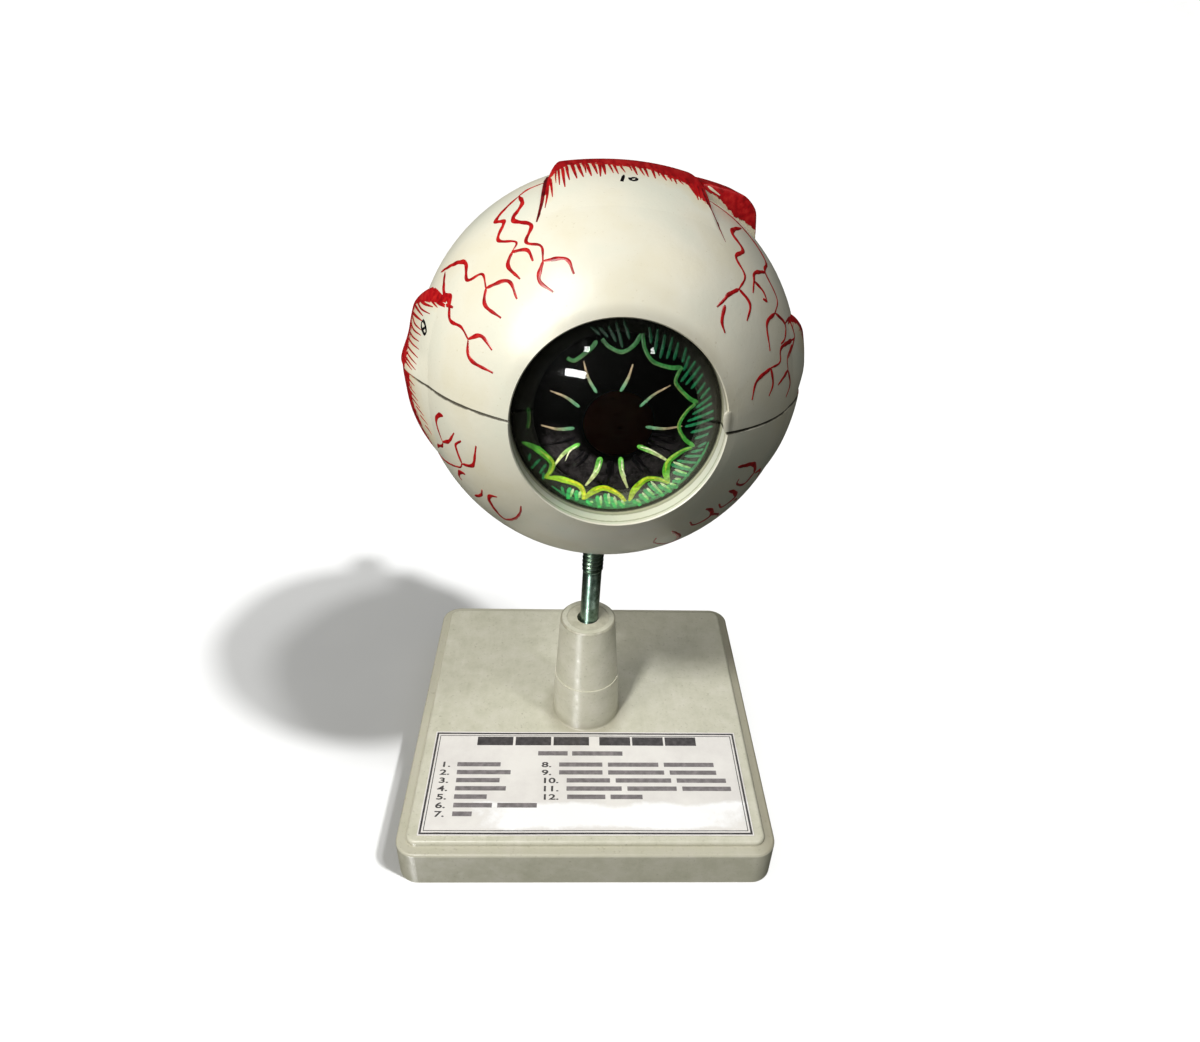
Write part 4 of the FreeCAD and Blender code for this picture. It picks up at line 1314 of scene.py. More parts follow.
# ---- muscles
@dataclass(frozen=True)
class Muscle:
    """Raised stump of a straight muscle. Its face is a ball as large as the globe, moved out by the rise
    and back so that it grows out of the white; its sides drop to the white over a rounded edge.

    Places on it are across, back and high: high is outwards along the way it stands.
    """

    eye: EyeAxes
    viewpoint: Viewpoint
    node: str
    body: Body
    rise: float
    front: float = -29
    back: float = 18
    edge_r: float = 1.5
    sunk: float = 0.3
    rows: int = 96
    columns: int = 96
    red_line: Pixels = ()  # the red lies on its left hand
    fringe: Rows = ()  # each stroke's width in millimetres and then its places in the image

    def axes(self) -> Array:
        """Across, back and outward directions in the frame, one a row."""
        return np.array([self.eye.side, self.eye.back, self.eye.up])

    def world(self, across: Array, back: Array, high: Array) -> Array:
        """Points of the frame for places on the muscle."""
        return GLOBE_CENTRE + stacked(across, back, high) @ self.axes()

    def shift(self) -> float:
        """How far back the ball that the muscle's face lies on is moved."""
        return self.rise * math.tan(math.radians(60))

    def centre(self) -> Array:
        """Centre of that ball."""
        return GLOBE_CENTRE + np.array([0, self.shift(), self.rise]) @ self.axes()

    def ground(self, across: Array, back: Array) -> Array:
        """Height of the white under the muscle."""
        return np.sqrt(GLOBE_R ** 2 - across ** 2 - back ** 2)

    def crown(self, across: Array, back: Array) -> Array:
        """Height of the muscle's face."""
        return self.rise + np.sqrt(GLOBE_R ** 2 - across ** 2 - (back - self.shift()) ** 2)

    def edges(self, back: Array) -> tuple[Array, Array]:
        """First and last place across at each place back."""
        raise NotImplementedError

    def fall(self, across: Array, back: Array) -> Array:
        """Share of the full height, 0 at the edges and 1 inside them."""
        first, last = self.edges(back)
        return (rounded(across - first, self.edge_r) * rounded(last - across, self.edge_r)
            * rounded(self.back - back, self.edge_r))

    def high(self, across: Array, back: Array) -> Array:
        """Height of the finished skin: the white's, less a little, plus what stands above it."""
        ground = self.ground(across, back)
        proud = np.maximum(self.crown(across, back) - ground + self.sunk, 0)
        return ground - self.sunk + proud * self.fall(across, back)

    def grid(self) -> tuple[Array, Array]:
        """Places of the skin's points, packed towards the edges."""
        back = self.front + (self.back - self.front) * (1 - (1 - np.linspace(0, 1, self.rows)) ** 1.7)
        first, last = (edge[:, None] for edge in self.edges(back))
        share = (crowded(self.columns)[None] + 1) / 2
        return first + (last - first) * share, np.repeat(back[:, None], self.columns, axis=1)

    def crimson(self, across: Array, back: Array) -> Array:
        """Millimetres into the red: what the drawn line keeps on its left hand, and all that faces away.

        Args:
            across: places across the muscle.
            back: places along it.

        Returns:
            How far each place is past the line where the red begins.
        """
        points = self.world(across, back, self.high(across, back))
        facing = (unit(np.array(self.viewpoint.place) - points) * unit(points - self.centre())).sum(axis=-1)
        past = 0.2 - GLOBE_R * facing
        inside = left_of(self.viewpoint.onto_image(points), pairs(self.red_line)) / PIXELS_PER_MM
        return np.where(facing > 0, np.maximum(inside, past), past)

    def under(self, pixels: Array) -> tuple[Array, Array]:
        """Places across and back of the skin that are seen at pixels.

        The pixels are cast onto a ball, and the ball under each grows until it meets the skin there.

        Args:
            pixels: n by 2 places in the image.

        Returns:
            Places across and places back.
        """
        radius = np.full(len(pixels), GLOBE_R)
        for _ in range(24):
            points = self.viewpoint.onto_ball(pixels, self.centre(), radius)
            across, back, high = ((points - GLOBE_CENTRE) @ self.axes().T).T
            radius = radius + 0.3 * (self.skin(across, back) - high)
        return across, back

    def skin(self, across: Array, back: Array) -> Array:
        """Height of whichever stands out, the muscle or the white."""
        return np.maximum(self.high(across, back), self.ground(across, back))

    def lay(self, pixels: Pixels, start: float, full: float, tip: float, thick: float = 0.18) -> Surface:
        """Brush line on the skin along a drawn route.

        Args:
            pixels: the route in the image.
            start, full, tip: its three widths.
            thick: its thickness.

        Returns:
            The line's skin.
        """
        across, back = self.under(smooth_route(pairs(pixels), 1.5))
        points = self.world(across, back, self.skin(across, back))
        return brush_line(points, unit(points - self.centre()), stroke_widths(len(points), start, full, tip),
            thick, 6)

    def strokes(self) -> list[Surface]:
        """Tapering strokes that the brush pulled out of the red."""
        return [self.lay(route, wide, wide, 0.3 * wide) for wide, *route in self.fringe]

    def extra(self) -> dict[str, tuple[Finish, list[Surface]]]:
        """Further brush lines of this muscle alone, by piece name, with their finish."""
        return {}

    def build(self) -> None:
        """Make the muscle's skin and the brush lines on it."""
        across, back = self.grid()
        top = self.world(across, back, self.high(across, back))
        bottom = self.world(across, back, self.ground(across, back) - 2 * self.sunk)
        skin = slab(top, bottom)
        skin.marks["crimson"] = np.tile(self.crimson(across, back).ravel(), 2)
        enamel = MusclePaint(up=tuple(self.eye.up), out=tuple(-self.eye.back))
        add_piece(self.node + "_skin", skin, enamel, self.body, (self.node,))
        for ending, (finish, lines) in {"_strokes": (CRIMSON, self.strokes()), **self.extra()}.items():
            if lines:
                add_piece(self.node + ending, lines, finish, self.body)


@dataclass(frozen=True)
class TopMuscle(Muscle):
    """The straight muscle over the crown, narrowing backwards and fuller towards its sides, with streaks
    down its creases."""

    left_side: Rows = ((-34, -25.1), (18, -18.1))  # back, across
    right_side: Rows = ((-34, 29), (-28.3, 26.7), (-23.4, 25), (-17.7, 24), (-10, 23.3), (18, 19.5))
    creases: Rows = ()

    def edges(self, back: Array) -> tuple[Array, Array]:
        """The outline's two sides."""
        left, right = (np.interp(back, *np.array(side).T) for side in (self.left_side, self.right_side))
        return left, right

    def crown(self, across: Array, back: Array) -> Array:
        """Height of its face: more than the ball's with the square of the distance from its middle."""
        out = across + 3
        more = np.where(out < 0, 0.004, 0.0028) * out ** 2 - 0.25
        return super().crown(across, back) + more * smoothstep(-28, -8, back)

    def extra(self) -> dict[str, tuple[Finish, list[Surface]]]:
        """Dark streaks where paint has pooled in the creases."""
        return {"_crease_streaks": (POOLED_CRIMSON,
            [self.lay(route, wide, wide, 0.25 * wide, 0.25) for wide, *route in self.creases])}


@dataclass(frozen=True)
class SideMuscle(Muscle):
    """Half of a straight muscle on the globe's side, cut level at the seam."""

    side: int = -1
    top: float = 25
    seam_r: float = 0.45
    end_r: float = 4.2
    seam_more: float = 0  # extra height of its belly at the seam and towards its end
    end_more: float = 0
    narrowing: Pair = (0, 18)  # millimetres less width for each back, past this place

    def axes(self) -> Array:
        """Across runs up the eye, and it stands out to its side."""
        return np.array([self.eye.up, self.eye.back, self.eye.side * self.side])

    def edges(self, back: Array) -> tuple[Array, Array]:
        """From the seam to the muscle's end, in either half."""
        seam = np.full_like(back, 0.04 * np.sign(self.top))
        end = self.end(back)
        return (seam, end) if self.top > 0 else (end, seam)

    def end(self, back: Array) -> Array:
        """Place across of the muscle's end, nearer the seam past some place back."""
        slope, start = self.narrowing
        return self.top - slope * np.sign(self.top) * np.maximum(back - start, 0)

    def crown(self, across: Array, back: Array) -> Array:
        """Height of its face, with a fuller belly not far behind where it leaves the white."""
        belly = smoothstep(-30, -13, back) * (1 - smoothstep(-4, 12, back))
        share = smoothstep(0, 9, np.abs(across))
        return super().crown(across, back) + belly * (self.seam_more * (1 - share) + self.end_more * share)

    def fall(self, across: Array, back: Array) -> Array:
        """Share of the full height; the edge at the seam is sharp and the end slopes."""
        return (rounded(np.abs(across), self.seam_r) * rounded(np.abs(self.end(back) - across), self.end_r)
            * rounded(self.back - back, self.edge_r))


@dataclass(frozen=True)
class SlantingMuscle(Muscle):
    """Stump that comes from under the top muscle's outer side: a bar with a shoulder and a high outer
    wall, its front cut on a slant and left cream."""

    outline: Rows = ((19.95, 58.6), (26.6, 57.7), (33.04, 56.3), (36.3, 55.1), (38.9, 52.9), (40.2, 50.9),
        (40.84, 48.5))
    inner_front: float = -9.8
    outer_front: float = -4.6
    cover: TopMuscle | None = None
    streak: Rows = ((23.8, 0.6), (25.7, 1.4), (27.8, 2.2))  # across, under the top

    def fronts(self, across: Array) -> Array:
        """Place back of the slanting front."""
        (inner, _), (outer, _) = self.outline[0], self.outline[-1]
        return np.interp(across, (inner, outer), (self.inner_front, self.outer_front))

    def crown(self, across: Array, back: Array) -> Array:
        """The bar's upper side, the same all along it."""
        profile = smooth_route(np.array(self.outline), 0.25)
        return np.interp(across, profile[:, 0], profile[:, 1])

    def fall(self, across: Array, back: Array) -> Array:
        """Rounded at the front, the back and the outer wall; the inner side runs under the top muscle."""
        return (rounded(self.outline[-1][0] - across, 0.8) * rounded(back - self.fronts(across), self.edge_r)
            * rounded(self.back - back, self.edge_r))

    def grid(self) -> tuple[Array, Array]:
        """Rows from the slanting front to the back, columns from the top muscle's side outwards."""
        share = (crowded(self.rows)[:, None] + 1) / 2
        rough = self.inner_front + (self.back - self.inner_front) * share
        first = self.cover.edges(rough)[1] - 0.6
        out = np.linspace(0, 1, self.columns)[None] ** 0.8
        across = first + (self.outline[-1][0] - first) * out
        front = self.fronts(across)
        return across, front + (self.back - front) * share

    def extra(self) -> dict[str, tuple[Finish, list[Surface]]]:
        """The cream streak that the brush left between two strokes on the slanting front's round edge."""
        across, drop = smooth_route(np.array(self.streak), 0.3).T
        front = self.fronts(across)
        crown = self.crown(across, front)
        share = 1 - drop / (crown - self.ground(across, front) + self.sunk)
        points = self.world(across, front + self.edge_r * (1 - np.sqrt(1 - share ** 2)), crown - drop)
        ways = np.tile(unit(np.array([0, -1, 0.6]) @ self.axes()), (len(points), 1))
        line = brush_line(points, ways, stroke_widths(len(points), 0.5, 0.85, 0.35), 0.3, 6)
        return {"_streak": (CREAM_STREAK, [line])}


CROWN_FRINGE: Rows = ((0.85, 550, 178, 551.5, 188, 552.5, 197), (0.8, 548, 186, 547, 197, 545, 208),
    (0.55, 556, 170, 555.5, 177, 556, 183), (0.75, 558, 168, 559, 177, 559.5, 185),
    (1.1, 562, 167, 563.5, 178, 565, 187), (1, 566, 165, 567.5, 173, 569.5, 180),
    (1.25, 571, 163, 574, 171, 577, 178.5), (1.2, 577, 163, 580, 170, 583.5, 177),
    (0.8, 582, 163, 585, 168, 586, 173), (1.2, 586, 163, 589, 170, 591.5, 176),
    (1.1, 592, 162, 595, 168, 597.5, 174), (1.1, 598, 160, 600, 168, 600.5, 176.5),
    (1.2, 602, 162, 604, 168, 605.5, 174.5), (0.8, 608, 163, 611, 168, 613.5, 173),
    (0.9, 613, 163, 616, 169, 618.5, 174), (0.8, 619, 163, 622, 168, 625.5, 172.5),
    (0.8, 627, 163, 630, 167, 632, 171), (1.1, 632, 164, 635, 170, 637.5, 175),
    (0.9, 638, 165, 641, 170, 644.5, 175.5), (1.1, 643, 165, 646, 171, 648.5, 177),
    (1.25, 650, 164, 653, 171, 655.5, 178.5), (1, 656, 167, 658, 172, 659.5, 176),
    (1.4, 660, 169, 663, 175, 666.5, 180.5), (1.1, 667, 172, 670, 178, 672, 181.5),
    (1.1, 672, 174, 675, 180, 677, 184), (1.1, 678, 176, 680, 181, 683.5, 184.5),
    (1.5, 686, 178, 691, 187, 696.5, 196), (1.3, 691, 181, 695, 190, 698.5, 200),
    (1, 697, 184, 699, 193, 701, 200))
CROWN_CREASES: Rows = ((1.9, 547.5, 177, 545, 190, 541.5, 206, 536.5, 222),
    (0.8, 702, 188, 706, 199, 712, 211, 716, 220), (0.55, 712, 211, 718, 225, 721.5, 233, 725.5, 242),
    (0.8, 716.5, 221, 718.5, 225.5, 719.5, 229))
NASAL_FRINGE: Rows = ((1, 420, 300, 425, 304, 433, 307), (0.75, 417, 301, 421.5, 309, 430, 314),
    (0.9, 415, 305, 418.5, 310.5, 423, 316), (1, 412.5, 312, 416, 316, 422, 321),
    (0.8, 412.5, 316, 415, 324, 421, 330), (0.8, 410.5, 322, 414, 330, 421, 335.5),
    (0.75, 409.5, 331, 413, 337, 419, 341.5), (0.75, 408.5, 338, 412.5, 344, 419, 349.5),
    (0.8, 407.5, 346, 411.5, 351.5, 418, 358), (0.75, 406.5, 352, 411, 358.5, 416.5, 364.5),
    (0.8, 405.5, 357, 410.5, 364, 415.5, 370), (0.8, 404.5, 360, 408.5, 365.5, 412, 370),
    (0.9, 430, 298, 433.5, 303, 437.5, 307.5), (1.1, 434, 299, 439, 303.5, 445, 307),
    (1.7, 433, 289.5, 438, 293.5, 444, 298), (1.8, 433, 293.5, 439, 298, 446, 302),
    (1.5, 432, 297.5, 438, 301.5, 445, 305))
NASAL_LOW_FRINGE: Rows = ((0.8, 406, 368, 410, 373, 414, 378), (0.8, 406.5, 375, 410.5, 381, 414.5, 386),
    (0.7, 408, 383, 411.5, 389, 415.5, 394), (0.7, 410, 390, 414, 396, 418, 401),
    (0.7, 412.5, 398, 416, 403, 420, 408), (0.7, 416, 406, 420, 411, 424, 416),
    (0.6, 420, 415, 424, 420, 428, 425), (0.6, 425, 425, 429, 430, 432, 435))
TEMPORAL_FRINGE: Rows = ((1, 788, 318, 791.5, 325, 794, 333, 794.5, 338, 791, 340.5, 786, 343.5),
    (0.9, 794.5, 338, 792, 348, 788.5, 358), (0.9, 790, 317, 787.5, 320, 784.8, 324),
    (0.6, 792, 319, 793, 323, 793, 327), (0.7, 800.5, 320, 801, 326, 799, 331))


@dataclass
class Muscles:
    """All muscle stumps and the plain numbers inked on two of them."""

    eye: EyeAxes
    viewpoint: Viewpoint
    ink_width: float = 0.95
    ten_one: Pixels = (624, 174.8, 622.8, 178.2, 621.8, 181.4)
    ten_nought: Pixels = (629, 177.4, 630.6, 179.6, 634.4, 180.6, 637.4, 179.2, 634.6, 177.6, 631, 178.4,
        629.4, 178.2)
    eight: Pixels = (422.8, 320.2, 421.4, 323.5, 421.6, 328, 423.2, 332, 424.6, 334.4, 426.2, 332, 425.6, 327,
        424.4, 322.6, 422.8, 320.2)
    eight_waist: Pixels = (421.8, 329.5, 424, 328.4, 425.6, 327)

    def number(self, muscle: Muscle, *lines: Pixels) -> list[Surface]:
        """Ink lines laid on a muscle's face."""
        return [muscle.lay(line, self.ink_width, self.ink_width, self.ink_width, 0.12) for line in lines]

    def build(self) -> None:
        """Make the six muscle pieces and the two numbers."""
        top = TopMuscle(self.eye, self.viewpoint, "superior_rectus", Body.UPPER, 2, fringe=CROWN_FRINGE,
            creases=CROWN_CREASES,
            red_line=(536, 200, 546, 194, 549, 187, 552, 177, 556, 171, 560, 168.5, 566, 166, 572, 164.5,
            597, 163.5, 615, 165.5, 635, 167, 650, 170, 660, 173.5, 672, 178.5, 682, 181, 690, 187,
            698, 196, 706, 203))
        slanting = SlantingMuscle(self.eye, self.viewpoint, "superior_oblique", Body.UPPER, 0, back=14,
            rows=80, columns=80, cover=top,
            red_line=(690, 183, 704, 189, 715, 195.5, 724, 203.5, 731, 212.5, 738, 219.5, 744.3, 220.8,
            756.1, 231.4, 770, 245))
        half = partial(SideMuscle, self.eye, self.viewpoint, rise=3.65, columns=80)
        medial_upper = half("medial_rectus_upper", Body.UPPER, seam_more=1.6, end_more=-0.55,
            narrowing=(0.35, -12), fringe=NASAL_FRINGE,
            red_line=(403, 376, 406, 362, 408.5, 345, 411, 328, 414, 310, 416.5, 304, 421, 301.5,
            436, 302.5, 450, 305))
        medial_lower = half("medial_rectus_lower", Body.LOWER, top=-23.8, end_r=13, seam_more=1.2,
            end_more=0.8, fringe=NASAL_LOW_FRINGE,
            red_line=(430, 440, 421, 424, 413.5, 403, 410.5, 388, 409.5, 376, 409, 364))
        lateral_upper = half("lateral_rectus_upper", Body.UPPER, side=1, seam_more=-0.4, end_more=0.6,
            narrowing=(0.37, -16), fringe=TEMPORAL_FRINGE,
            red_line=(778, 323.5, 786, 323.5, 794, 322.5, 798.5, 325, 801, 332, 803.5, 340, 806, 346))
        lateral_lower = half("lateral_rectus_lower", Body.LOWER, side=1, top=-23.8, end_r=9,
            red_line=(812, 366, 812, 430))
        for muscle in (top, slanting, medial_upper, medial_lower, lateral_upper, lateral_lower):
            muscle.build()
        add_piece("number_ten", self.number(top, self.ten_one, self.ten_nought), MARKER_INK, Body.UPPER)
        add_piece("number_eight", self.number(medial_upper, self.eight, self.eight_waist), MARKER_INK,
            Body.UPPER)


# ---- iris
@dataclass
class IrisPainting:
    """Painting on the iris's face: ten tapering strokes round the pupil, a ring of arches, ticks like a
    comb's teeth behind them and black strokes in the grey wash. Places are turn and radius: degrees round the
    optic axis from the viewer's right, and millimetres from it. Colours run with the height, brighter low
    down and darker towards the top and the left: paint colour with painted light and shade, as the recess's
    rim shades the upper part."""

    eye: EyeAxes
    centre_x: float = -2
    rim: float = 28
    rise: float = 0.03
    paint: float = 0.12
    # tints from low to high: paint colour with painted light and shade, brighter low down
    levels: tuple[float, ...] = (-26, -20, -14, -5, 6, 16, 25)
    arch_tints: tuple[str, ...] = ("dcea10", "b4e020", "6cce3c", "4aa43e", "3d863a", "306c36", "24502c")
    tick_tints: tuple[str, ...] = ("22b856", "26a656", "2a9858", "2c8658", "268252", "1c7048", "165a3a")
    bright_line_tints: tuple[str, ...] = ("f4f12a", "f0ee30", "c4ea44", "98c662", "809a50", "567c4c", "385a3e")
    strokes: Rows = (  # inner place, outer place, width
        (118, 9.6, 117.5, 18.2, 0.8), (80, 9.4, 75, 16.9, 0.9), (38, 9, 37, 18.6, 0.8),
        (0, 9.2, 0, 19.4, 0.9), (-36, 9.4, -32, 20.4, 1.35), (-70, 9.8, -71.5, 20.5, 1.45),
        (-102, 9.8, -105, 20.2, 1.7), (-143, 10, -135, 20.5, 1.2), (-170, 9.8, -173, 18.6, 0.95),
        (154, 9.7, 155.5, 18.2, 0.85))
    arches: Rows = (  # first cusp, crown, last cusp
        (-106.5, 25.8, -96, 19.9, -79.6, 25), (-76.9, 25.1, -60.6, 18.9, -48, 24.4),
        (-48, 24.4, -35, 18.4, -17.3, 22.3), (-16.3, 22.8, 0.3, 16.5, 16.6, 21.3),
        (16.6, 22.1, 38.7, 18.5, 45.4, 22.2), (45.4, 22.2, 65.7, 18.8, 79.5, 24.2),
        (80.2, 24.1, 91.8, 19.2, 105.3, 22.7), (108.8, 22.6, 127.3, 20.4, 131.7, 22),
        (175.3, 24.3, 182, 23.8, 189, 24.4), (198.5, 26.8, 216.5, 21.4, 225.3, 26.3),
        (225.3, 26.3, 244, 21.6, 253.5, 25.8))
    greys: Rows = (  # turn, inner radius, outer radius, width of black strokes
        (-90, 10.5, 19.5, 1.3), (-52, 10.5, 19, 1.2), (-57, 11, 17, 0.9), (-18, 10.8, 18.5, 0.9),
        (-11, 10.8, 16.5, 0.8), (-124, 10.5, 16, 1.1), (-131, 10.8, 15, 0.8), (-156, 10.8, 18.5, 1),
        (-86, 10.5, 15, 0.8), (-25, 11, 20.5, 0.8))

    def on_face(self, x: Array, z: Array, lift: float) -> tuple[Array, Array]:
        """Places on the iris's domed face, a little above it.

        Args:
            x: places to the side.
            z: places up.
            lift: height over the other paint.

        Returns:
            The points and the directions out of the face.
        """
        ball = self.eye.world(np.array([0, IRIS_FACE_R - IRIS_CROWN, 0]))
        out = IRIS_CROWN - IRIS_FACE_R + np.sqrt(IRIS_FACE_R ** 2 - x ** 2 - z ** 2) + self.rise + lift
        points = self.eye.world(stacked(x, -out, z))
        return points, unit(points - ball)

    def tint_and_shade_by_height(self, codes: tuple[str, ...], z: Array) -> Array:
        """Linear colours at heights on the iris, blended between one row of tints that carries painted light
        and shade.
        """
        colours = np.array([linear(code)[:3] for code in codes])
        return np.stack([np.interp(z, self.levels, channel) for channel in colours.T], axis=1)

    def line(self, turn: Array, radius: Array, widths: Triple, codes: tuple[str, ...], lift: float = 0,
            dim: float = 1, shift: float = 0) -> Surface:
        """One brush line on the face with its colour.

        Args:
            turn: turns of its knots.
            radius: their radii.
            widths: at the start, the full and the tip.
            codes: two colours from start to tip, or tints by height, with painted light and shade in them.
            lift: height over the other paint.
            dim: factor on its colour, for painted light and shade.
            shift: moves it sideways.

        Returns:
            The line's skin.
        """
        x = radius * np.cos(np.radians(turn)) + shift
        z = radius * np.sin(np.radians(turn))
        knots = smooth_route(stacked(x, z), 0.5)
        points, normals = self.on_face(knots[:, 0], knots[:, 1], lift)
        made = brush_line(points, normals, stroke_widths(len(points), *widths), self.paint, 6)
        along = made.marks["along"][:, None]
        if len(codes) == 2:
            first, last = (np.array(linear(code)[:3]) for code in codes)
            rgb = first + (last - first) * smoothstep(0.1, 0.75, along)
        else:
            rgb = self.tint_and_shade_by_height(codes, self.eye.local(made.points)[:, 2])
        phase = turn[0] * 0.7 + radius[0]
        patch = 0.5 + 0.5 * np.sin(along * 8 + phase) * np.sin(along * 19 + 2 * phase)
        made.marks["tint"] = np.concatenate([rgb * (0.75 + 0.5 * patch) * dim, np.ones_like(along)], axis=1)
        return made

    def arch_radius(self, turn: Array) -> Array:
        """Radius of the ring of arches at a turn, from their cusps and crowns."""
        flat = np.array(self.arches).reshape(-1, 2)
        turns = np.r_[flat[:, 0], flat[:, 0] + 360, flat[:, 0] - 360]
        order = np.argsort(turns)
        return np.interp(turn, turns[order], np.tile(flat[:, 1], 3)[order])

    def pupil_strokes(self) -> list[Surface]:
        """The ten strokes: dull green turning to tan above, bright green turning to cream below with a pale
        line on each; the brighter lower strokes are painted light.
        """
        made = []
        for order, (t0, r0, t1, r1, wide) in enumerate(self.strokes):
            low = math.sin(math.radians(t0)) < -0.3
            bow = 2.2 * (-1) ** order
            turn = np.array([t0, (t0 + t1) / 2 + bow, t1])
            # painted light and shade: lower strokes brighter, upper ones duller
            codes = ("6cc650", "dde6a4") if low else ("5a8c68", "a08c70")
            made.append(self.line(turn, np.linspace(r0, r1, 3), (wide, wide, wide * 0.35), codes,
                shift=self.centre_x))
            if low:
                made.append(self.line(turn + 1.2, np.linspace(r0 + 0.8, r1 - 4, 3), (0.3, 0.5, 0.2),
                    ("f2f6cc", "f2f6cc"), 0.04, shift=self.centre_x))
        return made

    def arch_lines(self) -> list[Surface]:
        """The arches, each from cusp over crown to cusp, with a brighter line on the pupil's side; they are
        brighter low down and darkened on the left, painted light and shade.
        """
        made = []
        for t0, r0, t1, r1, t2, r2 in self.arches:
            turn = np.array([t0, t0 + 0.3 * (t1 - t0), t1, t2 - 0.3 * (t2 - t1), t2])
            radius = np.array([r0, r1 + 0.38 * (r0 - r1), r1, r1 + 0.38 * (r2 - r1), r2])
            low = math.sin(math.radians(t1)) < -0.45
            # painted shade on the left-hand arches
            dim = float(np.interp(t1, (130, 175, 190, 217, 240), (1, 0.15, 0.15, 0.55, 1)))
            made.append(self.line(turn, radius, (1.2, 2.3 if low else 1.05, 1), self.arch_tints, 0.05, dim))
            made.append(self.line(turn[1:], radius[1:] - 0.35, (0.3, 1 if low else 0.45, 0.3),
                self.bright_line_tints, 0.09, dim * (1 if low else 0.7)))
        return made

    def ticks(self) -> list[Surface]:
        """Ticks between the arches and the rim, brightest low down and dim on the left and at the top as
        painted light and shade, with pale strokes among the lowest."""
        random = np.random.default_rng(14)
        made = []
        turns = np.arange(-158, 108, 4.9)
        turns = turns + random.uniform(-0.5, 0.5, len(turns))
        inner = self.arch_radius(turns) + random.uniform(0.9, 1.5, len(turns))
        outer = self.rim - random.uniform(0.2, 1.5, len(turns)) - np.interp(turns, (-45, -10), (0, 1.3))
        # painted light and shade: brightest at the bottom, dim on the left and at the top
        bright = np.interp(turns, (-160, -130, -118, -40, 25, 92), (0.35, 0.5, 1.35, 1.3, 0.7, 0.25))
        for turn, first, last, dim in zip(turns, inner, outer, bright):
            if last - first < 1.2:
                continue
            low = -122 < turn < -35
            places = np.linspace(first, last, 3)
            wide = 1.4 if low else 0.9
            made.append(self.line(np.linspace(turn, turn + 4, 3), places, (wide * 0.8, wide, wide * 0.7),
                self.tick_tints, 0.02, dim))
            if low:
                made.append(self.line(np.linspace(turn + 2.4, turn + 4.4, 3), places - (0.2, 0.6, 1.2),
                    (0.5, 0.85, 0.5), ("dff2bc", "9be07c"), 0.06))
        return made

    def rim_wash(self) -> list[Surface]:
        """Green wash along the lower rim under the ticks."""
        return [self.line(np.linspace(first, last, 12), np.full(12, radius),
            (wide * 0.4, wide, wide * 0.4), ("1f8a4c", "249654"), -0.03) for first, last, radius, wide
            in ((-128, -38, 26.9, 2), (-116, -46, 25.3, 1.9), (-40, -12, 26.6, 1.2))]

    def black_strokes(self) -> list[Surface]:
        """Black strokes over the grey wash, from the pupil outwards."""
        return [self.line(np.array([turn, turn + 1.5, turn + 1]), np.linspace(first, last, 3),
            (wide, wide, 0.3), self.tick_tints, shift=self.centre_x * 0.8)
            for turn, first, last, wide in self.greys]

    def build(self) -> None:
        """Make the painting's pieces."""
        add_piece("iris_strokes", self.pupil_strokes(), TINTED, Body.IRIS)
        add_piece("iris_arches", self.arch_lines() + self.ticks() + self.rim_wash(), TINTED, Body.IRIS)
        add_piece("iris_black_strokes", self.black_strokes(), MARKER_INK, Body.IRIS)


# ---- inside and back of the eye
@dataclass
class Nerve:
    """The optic nerve's stump: a sheath that flares where it leaves the globe and is rolled over at its cut
    end, round the yellow fibres."""

    eye: EyeAxes
    radius: float = 8.5
    bore: float = 5.55
    flare: float = 2.6
    length: float = 24
    nasal: float = 15
    drop: float = 9.5
    end_r: float = 1.3
    sunk: float = 1.6

    def axis(self) -> Array:
        """Direction of the nerve in the frame."""
        return self.eye.way(direction(*np.radians([-self.nasal, -self.drop])))

    def build(self) -> None:
        """Turn the sheath's outline, with shallow lengthwise folds outside."""
        end = GLOBE_R + self.length
        reach = np.linspace(GLOBE_R - self.sunk, end - self.end_r, 40)
        outer = self.radius + self.flare * np.exp(-(reach - GLOBE_R + self.sunk) / 2.2)
        outer -= 0.25 * smoothstep(GLOBE_R + 8, end, reach)
        turn = np.linspace(0, math.pi, 13)[1:]
        middle = (outer[-1] + self.bore) / 2
        half = (outer[-1] - self.bore) / 2
        lip = stacked(middle + half * np.cos(turn), end - self.end_r + self.end_r * np.sin(turn))
        inner = stacked(np.full(16, self.bore), np.linspace(end - self.end_r - 1, GLOBE_R - self.sunk, 16))
        profile = np.vstack([stacked(outer, reach), lip, inner])

        def folds(height: Array, around: Array) -> Array:
            """Shallow folds that fade towards the globe; the bore stays round."""
            depth = 0.018 * smoothstep(GLOBE_R + 1, GLOBE_R + 8, height)
            return 1 + depth * np.sin(around * 9 + 0.4 * np.sin(height / 4))

        sheath = turned_ring(profile, GLOBE_CENTRE, self.axis(), 72, folds)
        add_piece("optic_nerve_sheath", sheath, NERVE_SHEATH, Body.LOWER, ("optic_nerve",))


